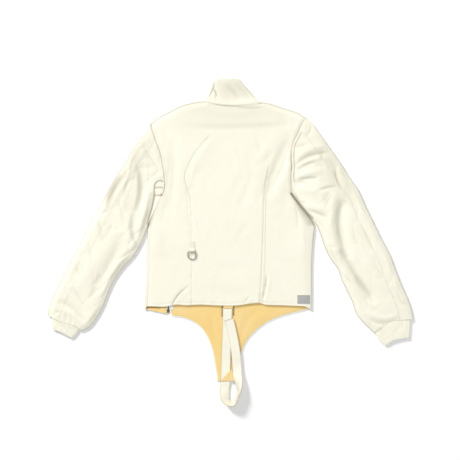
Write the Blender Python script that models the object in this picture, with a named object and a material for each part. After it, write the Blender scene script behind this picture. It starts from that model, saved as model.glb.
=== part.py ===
"""A fencing jacket laid flat on its front, with its back up.

Metres, +Z up. X runs across the jacket, Y from the hem to the collar, and Z is zero where the cloth
rests. The origin is the middle of the outline, on the surface. Tables are in millimetres.
"""

import math

import bmesh
import bpy
import numpy as np

MM = 0.001

# Cloth
WALL = 2.4
THIN_WALL = 1.0
SEAM_GAP = 0.3
ARMHOLE_GAP = 1.0
FOLD_RADIUS = 2.1
LAYER_RISE = 2 * FOLD_RADIUS
SHOULDER_RISE = WALL + SEAM_GAP
LIFT_FROM = 2.0
BODY_REST_RELIEF = 1.0
BODY_MOST_RELIEF = 2.1
LEAST_RELIEF = 0.2
EDGE_SOFTNESS = 16.0
ARC_COLUMNS = 4
END_BEND = 3
ROUNDING = 1e-6

# Long outlines of the body: x, y from the hem up
HEM_Y = -178.0
FRONT_HEM_Y = -186.0
LEFT_EDGE = ((-241, FRONT_HEM_Y), (-237, -133), (-233, -77), (-233, -21), (-232, 13), (-231, 36), (-225, 66),
             (-213, 99), (-200, 124), (-193, 137))
RIGHT_EDGE = ((226, FRONT_HEM_Y), (227, -133), (227, -77), (229, -21), (231, 7), (233, 26), (235, 40),
              (232, 53), (223, 66), (209, 85), (195, 102), (182, 119), (169, 137))
LEFT_ARMHOLE = ((-193, 137), (-188.5, 148), (-185.5, 160), (-184.5, 174), (-186, 192), (-190, 217),
                (-198, 255), (-210, 287), (-220, 317), (-223, 332))
RIGHT_ARMHOLE = ((169, 137), (170, 165), (169, 190), (171, 211), (169, 245), (175, 281), (186, 301),
                 (195, 323), (210, 349))
LEFT_SHOULDER = ((-223, 332), (-200, 350), (-170, 366), (-139, 382), (-105, 391), (-75, 395))
RIGHT_SHOULDER = ((87, 392), (104, 390), (125, 384), (148, 376), (168, 370), (188, 363), (210, 349))
NECK = ((-75, 395), (-52, 388), (-29, 384), (0, 381), (35, 379), (58, 381), (87, 392))
ZIP_LINE = ((-174, FRONT_HEM_Y), (-174, -60), (-174, 35), (-165, 139), (-132, 259), (-76, 393))

# How far the side seams lie in from the edges: height, left, right
SIDE_SEAMS = ((FRONT_HEM_Y, 7, 19), (-77, 6, 18), (0, 6, 21), (40, 8, 30), (70, 11, 27), (100, 10, 15),
              (125, 7, 8), (137, 5, 5))
BODY_ROWS = 13
ARMHOLE_ROWS = 9
BACK_COLUMNS = 25
NECK_FROM = 9 / BACK_COLUMNS
NECK_TO = 18 / BACK_COLUMNS
MAIN_COLUMNS = 14
MAIN_NECK_TO = 8 / MAIN_COLUMNS
SIDE_COLUMNS = 5

# The pointed panel: left x, left y, right x, right y, from the hem to the tip
POINT_EDGES = (
    (-170.3, FRONT_HEM_Y, 226, FRONT_HEM_Y),
    (-170, -193, 206, -191),
    (-168, -202, 169, -200),
    (-139, -210, 130, -212),
    (-109, -221, 99, -227),
    (-85, -238, 73, -247),
    (-69, -260, 53, -268),
    (-57, -286, 39, -291),
    (-49, -315, 29, -318),
    (-44, -346, 22, -349),
    (-40, -370, 18, -371),
    (-38, -388, 15, -388),
)
POINT_ROWS = 10
LINING_INSET = 3.6
LINING_ABOVE_HEM = 38.0
LINING_LEFT_X = -154.0
LINING_ROWS = 14
LINING_COLUMNS = 12
LEFT_HEM_DROP = 14.0
LEFT_HEM_MIDDLE = (-210, -191)
BACK_HEM_RISE = HEM_Y - FRONT_HEM_Y
START_DROP_REACH = 0.2

# Sleeves: outer x, outer y, inner x, inner y, from the armhole to the cuff seam
LEFT_SLEEVE = (
    (-224, 332.5, -195.4, 139),
    (-242, 302, -200.6, 132),
    (-270, 266, -206, 123),
    (-298, 220, -216, 101),
    (-332, 165, -229, 68),
    (-363, 108, -237, 38),
    (-393, 53, -251, 0),
    (-419, 1, -270, -34),
    (-444, -46, -301, -69),
    (-470, -98, -326, -105),
    (-490, -136, -341, -137),
    (-503, -169, -357, -178),
    (-509, -189, -379, -216),
    (-510, -199, -399, -239),
    (-510, -204, -417, -247),
)
RIGHT_SLEEVE = (
    (211, 349.5, 170.4, 139),
    (229, 334, 178, 129),
    (248, 309, 187, 117),
    (276, 269, 198, 103),
    (304, 229, 212, 86),
    (330, 188, 228, 68),
    (358, 147, 242, 48),
    (378, 102, 252, 22),
    (400, 57, 264, -14),
    (422, 12, 280, -46),
    (445, -32, 300, -74),
    (462, -77, 311, -105),
    (479, -119, 325, -134),
    (494, -153, 340, -165),
    (505, -184, 352, -199),
    (511, -214, 399, -252),
)
LEFT_SLEEVE_END = ((-510, -204), (-497, -211), (-483, -218), (-469, -224), (-446, -229.6), (-431, -236),
                   (-417, -247))
RIGHT_SLEEVE_END = ((511, -214), (486, -216), (469, -217), (456, -219), (438, -229), (419, -241),
                    (399, -252))
SLEEVE_ROWS = 26
UPPER_COLUMNS = 11
UNDER_COLUMNS = 6
OUTER_SEAM_INSET = 36.0
INNER_SEAM_INSET = 14.0
SLEEVE_PUFF = 3.2

# Cuffs: outer x, outer y, inner x, inner y, from the sleeve's end to the open end
LEFT_CUFF = ((-500, -210.8, -423, -243.8), (-501, -228, -432, -256.5), (-498, -243, -443, -268))
RIGHT_CUFF = ((504, -216.3, 404, -250.5), (502, -242, 414, -271), (501, -266, 431, -289))
LEFT_CUFF_SEAM = ((-500, -210.8), (-483, -219), (-469, -225), (-446, -230.6), (-432, -237.1),
                  (-423, -243.8))
RIGHT_CUFF_SEAM = ((504, -216.3), (486, -217.3), (469, -218.4), (455.5, -220.5), (437.5, -230.3),
                   (419, -242.1), (404, -250.5))
LEFT_CUFF_END = ((-498, -243), (-478, -249), (-461, -258), (-443, -268))
RIGHT_CUFF_END = ((501, -266), (475, -268.5), (452, -275), (431, -289))
CUFF_RIBS = 20
CUFF_ROWS = 3
CUFF_WALL = 2.2
RIB_HEIGHT = 0.6
CUFF_PUFF = 1.0
CUFF_SEAM_TURN = 0.5

# Collar: left x, left y, right x, right y, from the seam to the top edge
COLLAR_EDGES = (
    (-75.5, 396, 88, 393),
    (-61.5, 411, 73, 403),
    (-56, 428, 55, 422),
    (-51.5, 443, 38, 440),
    (-44, 455.5, 25, 457),
)
COLLAR_TOP = ((-44, 455.5), (-25, 458), (0, 458.5), (25, 457))
COLLAR_ROWS = 6
COLLAR_COLUMNS = 12
COLLAR_UNDER_COLUMNS = 8
COLLAR_SEAM_LIFT = 0.6
COLLAR_OPENING = 0.1
COLLAR_PUFF = 2.0

# Broad folds: name, start x, start y, middle x, middle y, end x, end y, half width, height
FOLDS = (
    ("left back hollow", -164, 290, -169, 189, -189, 49, 34, -1.2),
    ("left blade ridge", -66, 290, -112, 240, -132, 175, 26, 1.6),
    ("left dart hollow", -112, 150, -112, 0, -112, HEM_Y, 18, -0.8),
    ("right dart hollow", 90, 90, 88, -20, 86, HEM_Y, 18, -0.8),
    ("right back valley", 168, 300, 135, 220, 100, 110, 24, -1.3),
    ("right back ridge", 150, 320, 100, 230, 66, 120, 28, 1.6),
    ("right flank ridge", 182, 110, 190, 60, 188, 0, 22, 1.4),
    ("yoke band", -100, 328, 20, 322, 155, 330, 20, 0.6),
    ("left cap fold", -252, 278, -222, 238, -192, 188, 20, -1.8),
    ("left cap ridge", -262, 250, -238, 214, -214, 160, 20, 2.2),
    ("left upper valley", -270, 222, -259, 147, -276, 80, 22, -2.6),
    ("left elbow valley", -276, 84, -281, 29, -262, -18, 18, -2.4),
    ("left inner ridge", -244, 150, -246, 80, -254, 22, 20, 3.0),
    ("left outer ridge", -300, 190, -318, 120, -336, 60, 30, 2.6),
    ("left forearm valley", -302, 30, -332, -43, -380, -130, 24, -3.0),
    ("left forearm ridge", -330, 40, -380, -60, -424, -140, 30, 3.0),
    ("left wrist ridge", -482, -160, -446, -158, -404, -200, 20, 2.0),
    ("right cap ridge", 186, 232, 236, 262, 280, 258, 17, 2.6),
    ("right cap valley", 189, 210, 214, 226, 246, 233, 14, -2.0),
    ("right cap second ridge", 184, 190, 218, 203, 262, 206, 15, 2.4),
    ("right cap second valley", 181, 176, 209, 184, 242, 186, 14, -2.0),
    ("right underarm ridge", 186, 150, 232, 166, 282, 170, 18, 2.6),
    ("right elbow ridge", 250, 120, 272, 90, 286, 40, 24, 3.4),
    ("right deep valley", 312, 116, 290, 41, 307, -27, 24, -4.0),
    ("right forearm valley", 304, -20, 351, -88, 410, -178, 24, -4.0),
    ("right forearm ridge", 334, 90, 360, -10, 410, -100, 34, 3.4),
    ("right inner ridge", 272, -4, 300, -54, 352, -130, 16, 2.4),
    ("right wrist ridge", 372, -176, 420, -200, 470, -186, 18, 2.2),
)
FOLD_STEPS = 12

# Webbing: x, y, height of its middle, roll in degrees, along the middle of the strap
STRAP_ROUTE = (
    (-8, -182, 5.0, 0),
    (-9, -211, 5.0, 0),
    (-10, -259, 5.0, 0),
    (-12, -301, 5.0, 0),
    (-13, -343, 5.0, 0),
    (-14, -374, 5.0, 0),
    (-14.5, -391, 4.6, 0),
    (-16, -407, 4.2, 4),
    (-16.5, -422, 6.4, 18),
    (-13.5, -438, 9.8, 36),
    (-4, -449, 11.8, 50),
    (9, -449, 12.2, 56),
    (18, -438, 12.4, 60),
    (21.5, -421, 12.0, 58),
    (23.5, -402, 11.2, 44),
    (21.5, -384, 10.2, 24),
    (19, -365, 8.0, 8),
    (18, -346, 7.2, 0),
    (16, -323, 7.2, 0),
    (13, -296, 7.2, 0),
    (6, -259, 7.2, 0),
    (-1, -228, 7.2, 0),
    (-5, -216, 7.2, 0),
)
STRAP_WIDTH = 25.0
STRAP_WALL = 1.8
STRAP_ROWS = 66
STRAP_END_SLANT = 7.0
ANCHOR = (-19.0, 4.0, -181.5, -150.0)
ANCHOR_WALL = 0.8
CASING_OUTLINE = ((-30, -387.6), (6, -387.6), (4.5, -366), (0, -355))
CASING_Z = 6.3

# Metal ring and its tab
RING_X = -108.0
RING_BAR_Y = -25.0
RING_WIDTH = 25.0
RING_WIRE = 3.0
RING_DROP = 22.0
RING_CORNER = 3.0
RING_ARC_STEPS = 12
RING_TILT = 4.5
TAB_WIDTH = 17.0
TAB_WALL = 1.2
TAB_TOP_Y = 4.0
TAB_CLEARANCE = 0.3
TAB_TURN_STEPS = 8
TAB_PRESSED = 12.0

# Zip
CHAIN_WIDTH = 4.2
CHAIN_BOTTOM = 0.8
CHAIN_TOP = 3.2
ZIP_OPENING = 7.4
TAPE_WIDTH = 12.0
TAPE_WALL = 0.8
TAPE_BOTTOM_Y = -187.0
ZIP_ROWS = 24
ZIP_REACH = 0.94
ZIP_START = 0.1
ZIP_SPOTS = 7
BOX_SIZE = (6.4, 9.0, 2.8)

# Label on the right edge
LABEL = (187.0, 221.0, -171.0, -147.0)
LABEL_WALL = 0.8


class Line:
    """A smooth line through points, read by the share of its length."""

    def __init__(self, points):
        self.points = np.array(points, float)
        steps = np.linalg.norm(np.diff(self.points, axis=0), axis=1)
        self.marks = np.concatenate([[0.0], np.cumsum(steps)])
        self.length = self.marks[-1]
        self.slopes = np.gradient(self.points, self.marks, axis=0)

    def at(self, share):
        mark = min(max(share, 0.0), 1.0) * self.length
        i = int(np.clip(np.searchsorted(self.marks, mark) - 1, 0, len(self.marks) - 2))
        span = self.marks[i + 1] - self.marks[i]
        t = (mark - self.marks[i]) / span
        start, end = self.points[i], self.points[i + 1]
        lean_in, lean_out = self.slopes[i] * span, self.slopes[i + 1] * span
        return (
            start * (2 * t**3 - 3 * t**2 + 1)
            + lean_in * (t**3 - 2 * t**2 + t)
            + end * (3 * t**2 - 2 * t**3)
            + lean_out * (t**3 - t**2)
        )

    def side(self, share, distance):
        """The point beside the line, to the left of its direction."""
        ahead = self.at(min(share + 0.005, 1.0))
        behind = self.at(max(share - 0.005, 0.0))
        along = (ahead - behind) / np.linalg.norm(ahead - behind)
        return self.at(share) + distance * np.array((-along[1], along[0]))


class Joined:
    """Lines end to end, each taking a stated share of the whole."""

    def __init__(self, *lines, shares):
        self.lines = lines
        self.ends = np.concatenate([[0.0], shares, [1.0]])

    def at(self, share):
        i = int(np.clip(np.searchsorted(self.ends, share) - 1, 0, len(self.lines) - 1))
        return self.lines[i].at((share - self.ends[i]) / (self.ends[i + 1] - self.ends[i]))


class Moved:
    """A line read through a function that moves each of its points."""

    def __init__(self, line, move):
        self.line = line
        self.move = move

    def at(self, share):
        return self.move(self.line.at(share))


class Level:
    """A line read level with its partner, until both rise to their own ends."""

    def __init__(self, line, partner, turn, start_drop=0.0):
        self.spots = np.array([line.at(i / 60) for i in range(61)])
        self.partner = partner
        self.turn = turn
        self.start_drop = start_drop

    def at(self, share):
        rest = (share - self.turn) / (1 - self.turn)
        y = self.partner.at(share)[1]
        y += max(0.0, rest) * (self.spots[-1, 1] - self.partner.at(1)[1])
        y -= self.start_drop * max(0.0, 1 - share / START_DROP_REACH)
        return np.array((np.interp(y, self.spots[:, 1], self.spots[:, 0]), y))


def patch(bottom, top, left, right):
    """The plan of a four-sided panel, whose ends bend its rows less the further in they lie."""
    low = (bottom.at(0), bottom.at(1))
    high = (top.at(0), top.at(1))

    def plan(u, v):
        along = (1 - u) * left.at(v) + u * right.at(v)
        low_bend = bottom.at(u) - (1 - u) * low[0] - u * low[1]
        high_bend = top.at(u) - (1 - u) * high[0] - u * high[1]
        return along + (1 - v) ** END_BEND * low_bend + v**END_BEND * high_bend

    return plan


def edge_lines(rows):
    """The two long edges of a table whose rows hold a point on each."""
    table = np.array(rows, float)
    return Line(table[:, :2]), Line(table[:, 2:])


def soft_step(value):
    value = min(max(value, 0.0), 1.0)
    return value * value * (3 - 2 * value)


def distance_to(points, place):
    """The distance from a place to a chain of points, and how far along the chain it is."""
    starts, ends = points[:-1], points[1:]
    runs = ends - starts
    share = np.clip(((place - starts) * runs).sum(axis=1) / (runs**2).sum(axis=1), 0, 1)
    gaps = np.linalg.norm(starts + share[:, None] * runs - place, axis=1)
    nearest = int(np.argmin(gaps))
    return gaps[nearest], (nearest + share[nearest]) / len(starts)


def fold_chain(row):
    """The line of a fold, bent through its middle point."""
    start, middle, end = (np.array(row[i : i + 2], float) for i in (1, 3, 5))
    bend = 2 * middle - (start + end) / 2
    steps = np.linspace(0, 1, FOLD_STEPS)[:, None]
    return start * (1 - steps) ** 2 + bend * 2 * steps * (1 - steps) + end * steps**2


FOLD_CHAINS = [(fold_chain(row), row[7], row[8]) for row in FOLDS]


def folds_at(place):
    """The height that the broad folds add at a place."""
    height = 0.0
    for chain, half_width, top in FOLD_CHAINS:
        gap, along = distance_to(chain, place)
        if gap < half_width:
            height += top * (1 - (gap / half_width) ** 2) ** 2 * math.sin(math.pi * (0.1 + 0.8 * along))
    return height


class Outline:
    """Edges that the cloth turns round, towards which the relief fades."""

    def __init__(self, *lines):
        self.chains = [line.points for line in lines]

    def fade(self, place):
        gap = min(distance_to(chain, place)[0] for chain in self.chains)
        return soft_step(gap / EDGE_SOFTNESS)


left_edge, right_edge = Line(LEFT_EDGE), Line(RIGHT_EDGE)
left_armhole, right_armhole = Line(LEFT_ARMHOLE), Line(RIGHT_ARMHOLE)
left_shoulder, right_shoulder = Line(LEFT_SHOULDER), Line(RIGHT_SHOULDER)
neck = Line(NECK)
zip_line = Line(ZIP_LINE)
body_outline = Outline(left_edge, right_edge, left_shoulder, right_shoulder)
shoulders = Outline(left_shoulder, right_shoulder)


def body_relief(place):
    """How far the back stands above its lowest lie."""
    height = BODY_REST_RELIEF + folds_at(place)
    return body_outline.fade(place) * min(max(height, LEAST_RELIEF), BODY_MOST_RELIEF)


def body_rise(place):
    """The distance between the middles of the front's wall and the back's."""
    return SHOULDER_RISE + (LAYER_RISE - SHOULDER_RISE) * shoulders.fade(place) + body_relief(place)


def back_top(place):
    """The height of the back's outer face."""
    return WALL + body_rise(place)


def seam_inset(y, side):
    heights, left, right = zip(*SIDE_SEAMS)
    return float(np.interp(y, heights, left if side < 0 else right))


def material(name, colour, roughness, metallic=0.0):
    made = bpy.data.materials.new(name)
    made.use_nodes = True
    shader = made.node_tree.nodes["Principled BSDF"]
    shader.inputs["Base Color"].default_value = (*colour, 1.0)
    shader.inputs["Roughness"].default_value = roughness
    shader.inputs["Metallic"].default_value = metallic
    return made


def finish(name, bm, look):
    """Makes a closed mesh an object, with its faces outwards."""
    if bm.calc_volume(signed=True) < 0:
        bmesh.ops.reverse_faces(bm, faces=bm.faces[:])
    for face in bm.faces:
        face.smooth = True
    mesh = bpy.data.meshes.new(name)
    bm.to_mesh(mesh)
    bm.free()
    mesh.set_sharp_from_angle(angle=math.radians(40))
    mesh.materials.append(look)
    made = bpy.data.objects.new(name, mesh)
    jacket.objects.link(made)
    return made


def cloth(name, columns, rows, place, look, keep=None):
    """A grid made a wall: place(column, row) gives its inner and its outer point in millimetres."""
    bm = bmesh.new()
    bmesh.ops.create_grid(bm, x_segments=columns, y_segments=rows, size=0.5)
    for vert in bm.verts:
        vert.co.x = round((vert.co.x + 0.5) * columns)
        vert.co.y = round((vert.co.y + 0.5) * rows)
    if keep:
        spare = [face for face in bm.faces if not keep(*face.calc_center_median().xy)]
        bmesh.ops.delete(bm, geom=spare, context="FACES")
    grown = bmesh.ops.extrude_face_region(bm, geom=bm.faces[:])
    outer = {item for item in grown["geom"] if isinstance(item, bmesh.types.BMVert)}
    places = {}
    for vert in bm.verts:
        key = (round(vert.co.x), round(vert.co.y))
        if key not in places:
            places[key] = place(*key)
        vert.co = np.array(places[key][1 if vert in outer else 0]) * MM
    bmesh.ops.recalc_face_normals(bm, faces=bm.faces[:])
    return finish(name, bm, look)


class Tube:
    """A flattened tube of cloth: under, round the far edge, over, and round the near edge.

    A place round it is a number: 0 to 1 is the under side from the near edge to the far one, 1 to 2
    the far fold, 2 to 3 the upper side back to the near edge, 3 to 4 the near fold, 4 to 5 the under
    side again.
    """

    def __init__(self, plan, relief, wall=WALL, across=None, flat_edge=None, raise_out=None):
        self.plan = plan
        self.relief = relief
        self.wall = wall
        self.across = across
        self.flat_edge = flat_edge
        self.raise_out = raise_out

    def width(self, v):
        return float(np.linalg.norm(self.plan(1, v) - self.plan(0, v)))

    def direction(self, v):
        if self.across is not None:
            return np.array(self.across, float)
        span = self.plan(1, v) - self.plan(0, v)
        return span / np.linalg.norm(span)

    def edge_share(self, v):
        """The share of the width that a fold takes, or none where the edge is a flat seam."""
        if self.flat_edge and self.flat_edge(v):
            return SEAM_GAP / self.width(v)
        return (FOLD_RADIUS + self.wall / 2) / self.width(v)

    def at(self, turn, v):
        """The inner and the outer point."""
        lap, share = int(turn), turn - int(turn)
        if turn == 5:
            lap, share = 4, 1.0
        inset = self.edge_share(v)
        half = self.wall / 2
        direction = self.direction(v)
        if lap in (0, 4):
            spot = self.plan(inset + share * (1 - 2 * inset), v)
            lift = max(0.0, self.relief(spot, v) - LIFT_FROM)
            middle, out = np.array((*spot, half + lift)), np.array((0.0, 0.0, -1.0))
        elif lap == 2:
            spot = self.plan(1 - inset - share * (1 - 2 * inset), v)
            middle = np.array((*spot, half + LAYER_RISE + self.relief(spot, v)))
            out = np.array((0.0, 0.0, 1.0))
        else:
            sign = 1 if lap == 1 else -1
            spot = self.plan(1 - inset if lap == 1 else inset, v)
            turned = math.pi * share if lap == 1 else math.pi * (1 - share)
            relief = self.relief(spot, v)
            rise = LAYER_RISE + relief
            outward = sign * direction * math.sin(turned)
            middle = np.array((*(spot + outward * FOLD_RADIUS), half + rise * (1 - math.cos(turned)) / 2))
            out = np.array((*outward, -math.cos(turned)))
        raised = self.raise_out(turn) if self.raise_out else 0.0
        return middle - out * half, middle + out * (half + raised)


def spans(*stops):
    """Turns the columns of a piece into places round its tube: (place, columns to the next)."""
    places = []
    for (start, count), (end, _) in zip(stops, stops[1:]):
        places += [start + (end - start) * i / count for i in range(count)]
    return places + [stops[-1][0]]


def tube_piece(name, tube, turns, rows, look, start=0.0, end=1.0, keep=None):
    """One panel of a tube; turns(v) gives the places round it for its columns."""

    def place(column, row):
        v = start + (end - start) * row / rows
        return tube.at(turns(v)[column], v)

    return cloth(name, len(turns(0.5)) - 1, rows, place, look, keep)


def flat_piece(name, plan, height, wall, columns, rows, look, keep=None):
    """A panel lying on its height, which plan places by two shares."""

    def place(column, row):
        spot = plan(column / columns, row / rows)
        low = height(spot)
        return (*spot, low), (*spot, low + wall)

    return cloth(name, columns, rows, place, look, keep)


# Body

BODY_SHARE = BODY_ROWS / (BODY_ROWS + ARMHOLE_ROWS)
TOP_ROWS = BODY_ROWS + ARMHOLE_ROWS


def above_armpit(v):
    return v > BODY_SHARE + ROUNDING


class BackSide:
    """A long edge of the back: in from the fold to the side seam, then up the armhole."""

    def __init__(self, edge, armhole, side):
        self.whole = Joined(edge, armhole, shares=[BODY_SHARE])
        self.edge = edge.points
        self.side = side

    def at(self, share):
        x, y = self.whole.at(share)
        rise = BACK_HEM_RISE * max(0.0, 1 - share / START_DROP_REACH)
        x += np.interp(y + rise, self.edge[:, 1], self.edge[:, 0])
        x -= np.interp(y, self.edge[:, 1], self.edge[:, 0])
        inset = SEAM_GAP if above_armpit(share) else SEAM_GAP + seam_inset(y + rise, self.side)
        return np.array((x - self.side * inset, y + rise))


def shifted(line, dx, dy=0.0):
    return Moved(line, lambda spot: spot + np.array((dx, dy)))


def make_back(look):
    """The back, one piece with two long darts."""
    left, right = BackSide(left_edge, left_armhole, -1), BackSide(right_edge, right_armhole, 1)
    hem = Line((left.at(0), right.at(0)))
    top = Joined(left_shoulder, shifted(neck, 0, -2 * SEAM_GAP), right_shoulder, shares=[NECK_FROM, NECK_TO])
    return flat_piece("back", patch(hem, top, left, right), body_rise, WALL, BACK_COLUMNS, TOP_ROWS, look)


def front_relief(spot, v):
    """The turned edges of the fronts rise with the back."""
    return body_relief(spot)


def make_fronts(look):
    """The two front pieces, which turn round the side edges to the side seams."""
    zip_right = shifted(zip_line, ZIP_OPENING / 2)
    zip_left = shifted(zip_line, -ZIP_OPENING / 2)
    right = Joined(right_edge, right_armhole, shares=[BODY_SHARE])
    left = Joined(left_edge, left_armhole, shares=[BODY_SHARE])
    top = Joined(shifted(neck, ZIP_OPENING / 2, -2 * SEAM_GAP), right_shoulder, shares=[MAIN_NECK_TO])
    zip_side = Level(zip_right, right, BODY_SHARE)
    body_plan = patch(Line((zip_right.at(0), right.at(0))), top, zip_side, right)
    point_left, point_right = edge_lines(POINT_EDGES)

    def main_plan(u, v):
        if v >= 0:
            return body_plan(u, v)
        return (1 - u) * point_left.at(-v) + u * point_right.at(-v)

    def flat_edge(v):
        return v < -ROUNDING or above_armpit(v)

    main = Tube(main_plan, front_relief, across=(1, 0), flat_edge=flat_edge)
    row_places = [-1 + i / POINT_ROWS for i in range(POINT_ROWS)] + [i / TOP_ROWS for i in range(TOP_ROWS + 1)]

    def main_place(column, row):
        v = row_places[row]
        if column <= MAIN_COLUMNS:
            inset = main.edge_share(v)
            spot = main_plan((1 - inset) * column / MAIN_COLUMNS, v)
            return (*spot, WALL), (*spot, 0.0)
        if column <= MAIN_COLUMNS + ARC_COLUMNS:
            return main.at(1 + (column - MAIN_COLUMNS) / ARC_COLUMNS, v)
        edge = main_plan(1, v)
        spot = edge - np.array((seam_inset(edge[1], 1), 0.0))
        rise = body_rise(spot)
        return (*spot, rise), (*spot, rise + WALL)

    def main_keep(column, row):
        return column < MAIN_COLUMNS or POINT_ROWS < row < POINT_ROWS + BODY_ROWS

    cloth("front_main", MAIN_COLUMNS + ARC_COLUMNS + 1, len(row_places) - 1, main_place, look, main_keep)

    side_zip = Level(zip_left, left, BODY_SHARE, LEFT_HEM_DROP)
    hem = Line((left.at(0), LEFT_HEM_MIDDLE, side_zip.at(0)))
    side_plan = patch(hem, left_shoulder, left, side_zip)
    side = Tube(side_plan, front_relief, across=(1, 0), flat_edge=above_armpit)

    def side_place(column, row):
        v = row / TOP_ROWS
        if column == 0:
            edge = side_plan(0, v)
            spot = edge + np.array((seam_inset(edge[1], -1), 0.0))
            rise = body_rise(spot)
            return (*spot, rise), (*spot, rise + WALL)
        if column <= ARC_COLUMNS + 1:
            inner, outer = side.at(3 + (column - 1) / ARC_COLUMNS, v)
            if column < ARC_COLUMNS + 1:
                return inner, outer
        inset = side.edge_share(v)
        share = (column - ARC_COLUMNS - 1) / SIDE_COLUMNS
        spot = side_plan(inset + (1 - inset) * share, v)
        return (*spot, WALL), (*spot, 0.0)

    def side_keep(column, row):
        return column > ARC_COLUMNS + 1 or row < BODY_ROWS

    cloth("front_side_left", ARC_COLUMNS + 1 + SIDE_COLUMNS, TOP_ROWS, side_place, look, side_keep)


def make_lining(look):
    """The golden lining of the pointed panel, a little inside its edge."""
    table = np.array(POINT_EDGES, float)
    point_left, point_right = Line(table[::-1, :2]), Line(table[::-1, 2:])
    tip_share = LINING_INSET / point_left.length
    hem_share = LINING_ROWS / (LINING_ROWS + 1)

    def plan(u, v):
        share = tip_share + (1 - tip_share) * min(v / hem_share, 1.0)
        near = point_left.side(share, -LINING_INSET)
        far = point_right.side(share, LINING_INSET)
        near[0] = max(near[0], LINING_LEFT_X)
        far[0] = min(far[0], table[0, 2] - 2 * LINING_INSET)
        spot = (1 - u) * near + u * far
        if v > hem_share + ROUNDING:
            spot[1] += LINING_ABOVE_HEM
        return spot

    flat_piece(
        "point_lining", plan, lambda spot: WALL + SEAM_GAP, THIN_WALL, LINING_COLUMNS, LINING_ROWS + 1, look
    )


# Sleeves and cuffs


def make_sleeve(side, rows, armhole, end_line, look):
    outer, inner = edge_lines(rows)
    away = ARMHOLE_GAP if side == "left" else -ARMHOLE_GAP
    beside = [armhole.side(1 - i / ARMHOLE_ROWS, away) for i in range(ARMHOLE_ROWS + 1)]
    start = Line((rows[0][:2], *beside[1:-1], rows[0][2:]))
    plan = patch(start, end_line, outer, inner)
    outline = Outline(outer, inner)

    def relief(spot, v):
        puff = SLEEVE_PUFF * soft_step(v * 4) * (1 - 0.5 * soft_step((v - 0.9) * 10))
        return outline.fade(spot) * max(LEAST_RELIEF, BODY_REST_RELIEF + puff + folds_at(spot))

    tube = Tube(plan, relief)

    def upper(v):
        width = tube.width(v)
        return spans(
            (1 - INNER_SEAM_INSET / width, 1), (1, ARC_COLUMNS), (2, UPPER_COLUMNS),
            (3 - (OUTER_SEAM_INSET + SEAM_GAP) / width, 0),
        )

    def under(v):
        width = tube.width(v)
        return spans(
            (3 - OUTER_SEAM_INSET / width, 2), (3, ARC_COLUMNS), (4, UNDER_COLUMNS),
            (5 - (INNER_SEAM_INSET + 2 * SEAM_GAP) / width, 0),
        )

    end_share = 1 - SEAM_GAP / outer.length
    tube_piece(f"sleeve_{side}_upper", tube, upper, SLEEVE_ROWS, look, end=end_share)
    tube_piece(f"sleeve_{side}_under", tube, under, SLEEVE_ROWS, look, end=end_share)


def make_cuff(side, rows, seam_line, end_line, look):
    """A rib-knit cuff, its ribs raised outside."""
    outer, inner = edge_lines(rows)
    plan = patch(seam_line, end_line, outer, inner)
    columns = 2 * CUFF_RIBS

    def relief(spot, v):
        near = outer.at(v)
        far = inner.at(v)
        share = np.linalg.norm(spot - near) / np.linalg.norm(far - near)
        return CUFF_PUFF * math.sin(math.pi * min(max(share, 0.0), 1.0))

    def rib(turn):
        lap, share = int(turn), turn - int(turn)
        if lap in (1, 3):
            return 0.0
        return RIB_HEIGHT * (round(share * columns) % 2) if lap == 2 else 0.0

    tube = Tube(plan, relief, wall=CUFF_WALL, raise_out=rib)

    def turns(v):
        return spans(
            (CUFF_SEAM_TURN, CUFF_RIBS // 2), (1, ARC_COLUMNS), (2, columns), (3, ARC_COLUMNS),
            (4, CUFF_RIBS // 2), (4 + CUFF_SEAM_TURN - SEAM_GAP / tube.width(v), 0),
        )

    return tube_piece(f"cuff_{side}", tube, turns, CUFF_ROWS, look)


def make_collar(look):
    """The stand collar, one band pressed flat, open at the zip."""
    left, right = edge_lines(COLLAR_EDGES)
    plan = patch(shifted(neck, 0, COLLAR_SEAM_LIFT), Line(COLLAR_TOP), left, right)

    def relief(spot, v):
        share = np.linalg.norm(spot - left.at(v)) / np.linalg.norm(right.at(v) - left.at(v))
        return COLLAR_PUFF * math.sin(math.pi * min(max(share, 0.0), 1.0)) ** 0.7

    tube = Tube(plan, relief)

    def turns(v):
        return spans(
            (COLLAR_OPENING, COLLAR_UNDER_COLUMNS), (1, ARC_COLUMNS), (2, COLLAR_COLUMNS), (3, ARC_COLUMNS),
            (4, 1), (4 + COLLAR_OPENING - 2 * SEAM_GAP / tube.width(v), 0),
        )

    return tube_piece("collar", tube, turns, COLLAR_ROWS, look)


# Strap


def make_strap(look):
    """The webbing loop, one length that turns on its edge and comes back over itself."""
    route = Line(STRAP_ROUTE)

    def place(column, row):
        share = row / STRAP_ROWS
        x, y, z, roll = route.at(share)
        ahead, behind = route.at(share + 0.004), route.at(share - 0.004)
        along = (ahead - behind)[:2]
        along = along / np.linalg.norm(along)
        tilt = math.radians(roll)
        aside = np.array((-along[1] * math.cos(tilt), along[0] * math.cos(tilt), -math.sin(tilt)))
        out = np.array((-along[1] * math.sin(tilt), along[0] * math.sin(tilt), math.cos(tilt)))
        shift = (column / 2 - 0.5) * STRAP_WIDTH
        middle = np.array((x, y, z)) + aside * shift
        if row == STRAP_ROWS:
            middle = middle + np.array((*(along * shift * STRAP_END_SLANT / STRAP_WIDTH), 0.0))
        half = out * STRAP_WALL / 2
        return middle - half, middle + half

    return cloth("crotch_strap", 2, STRAP_ROWS, place, look)


def make_anchor(look):
    """The tab that the webbing is sewn to, under the back's hem."""
    x0, x1, y0, y1 = ANCHOR
    low = WALL + 2 * SEAM_GAP + THIN_WALL

    def plan(u, v):
        return np.array((x0 + u * (x1 - x0), y0 + v * (y1 - y0)))

    return flat_piece("strap_anchor", plan, lambda spot: low, ANCHOR_WALL, 2, 2, look)


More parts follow.
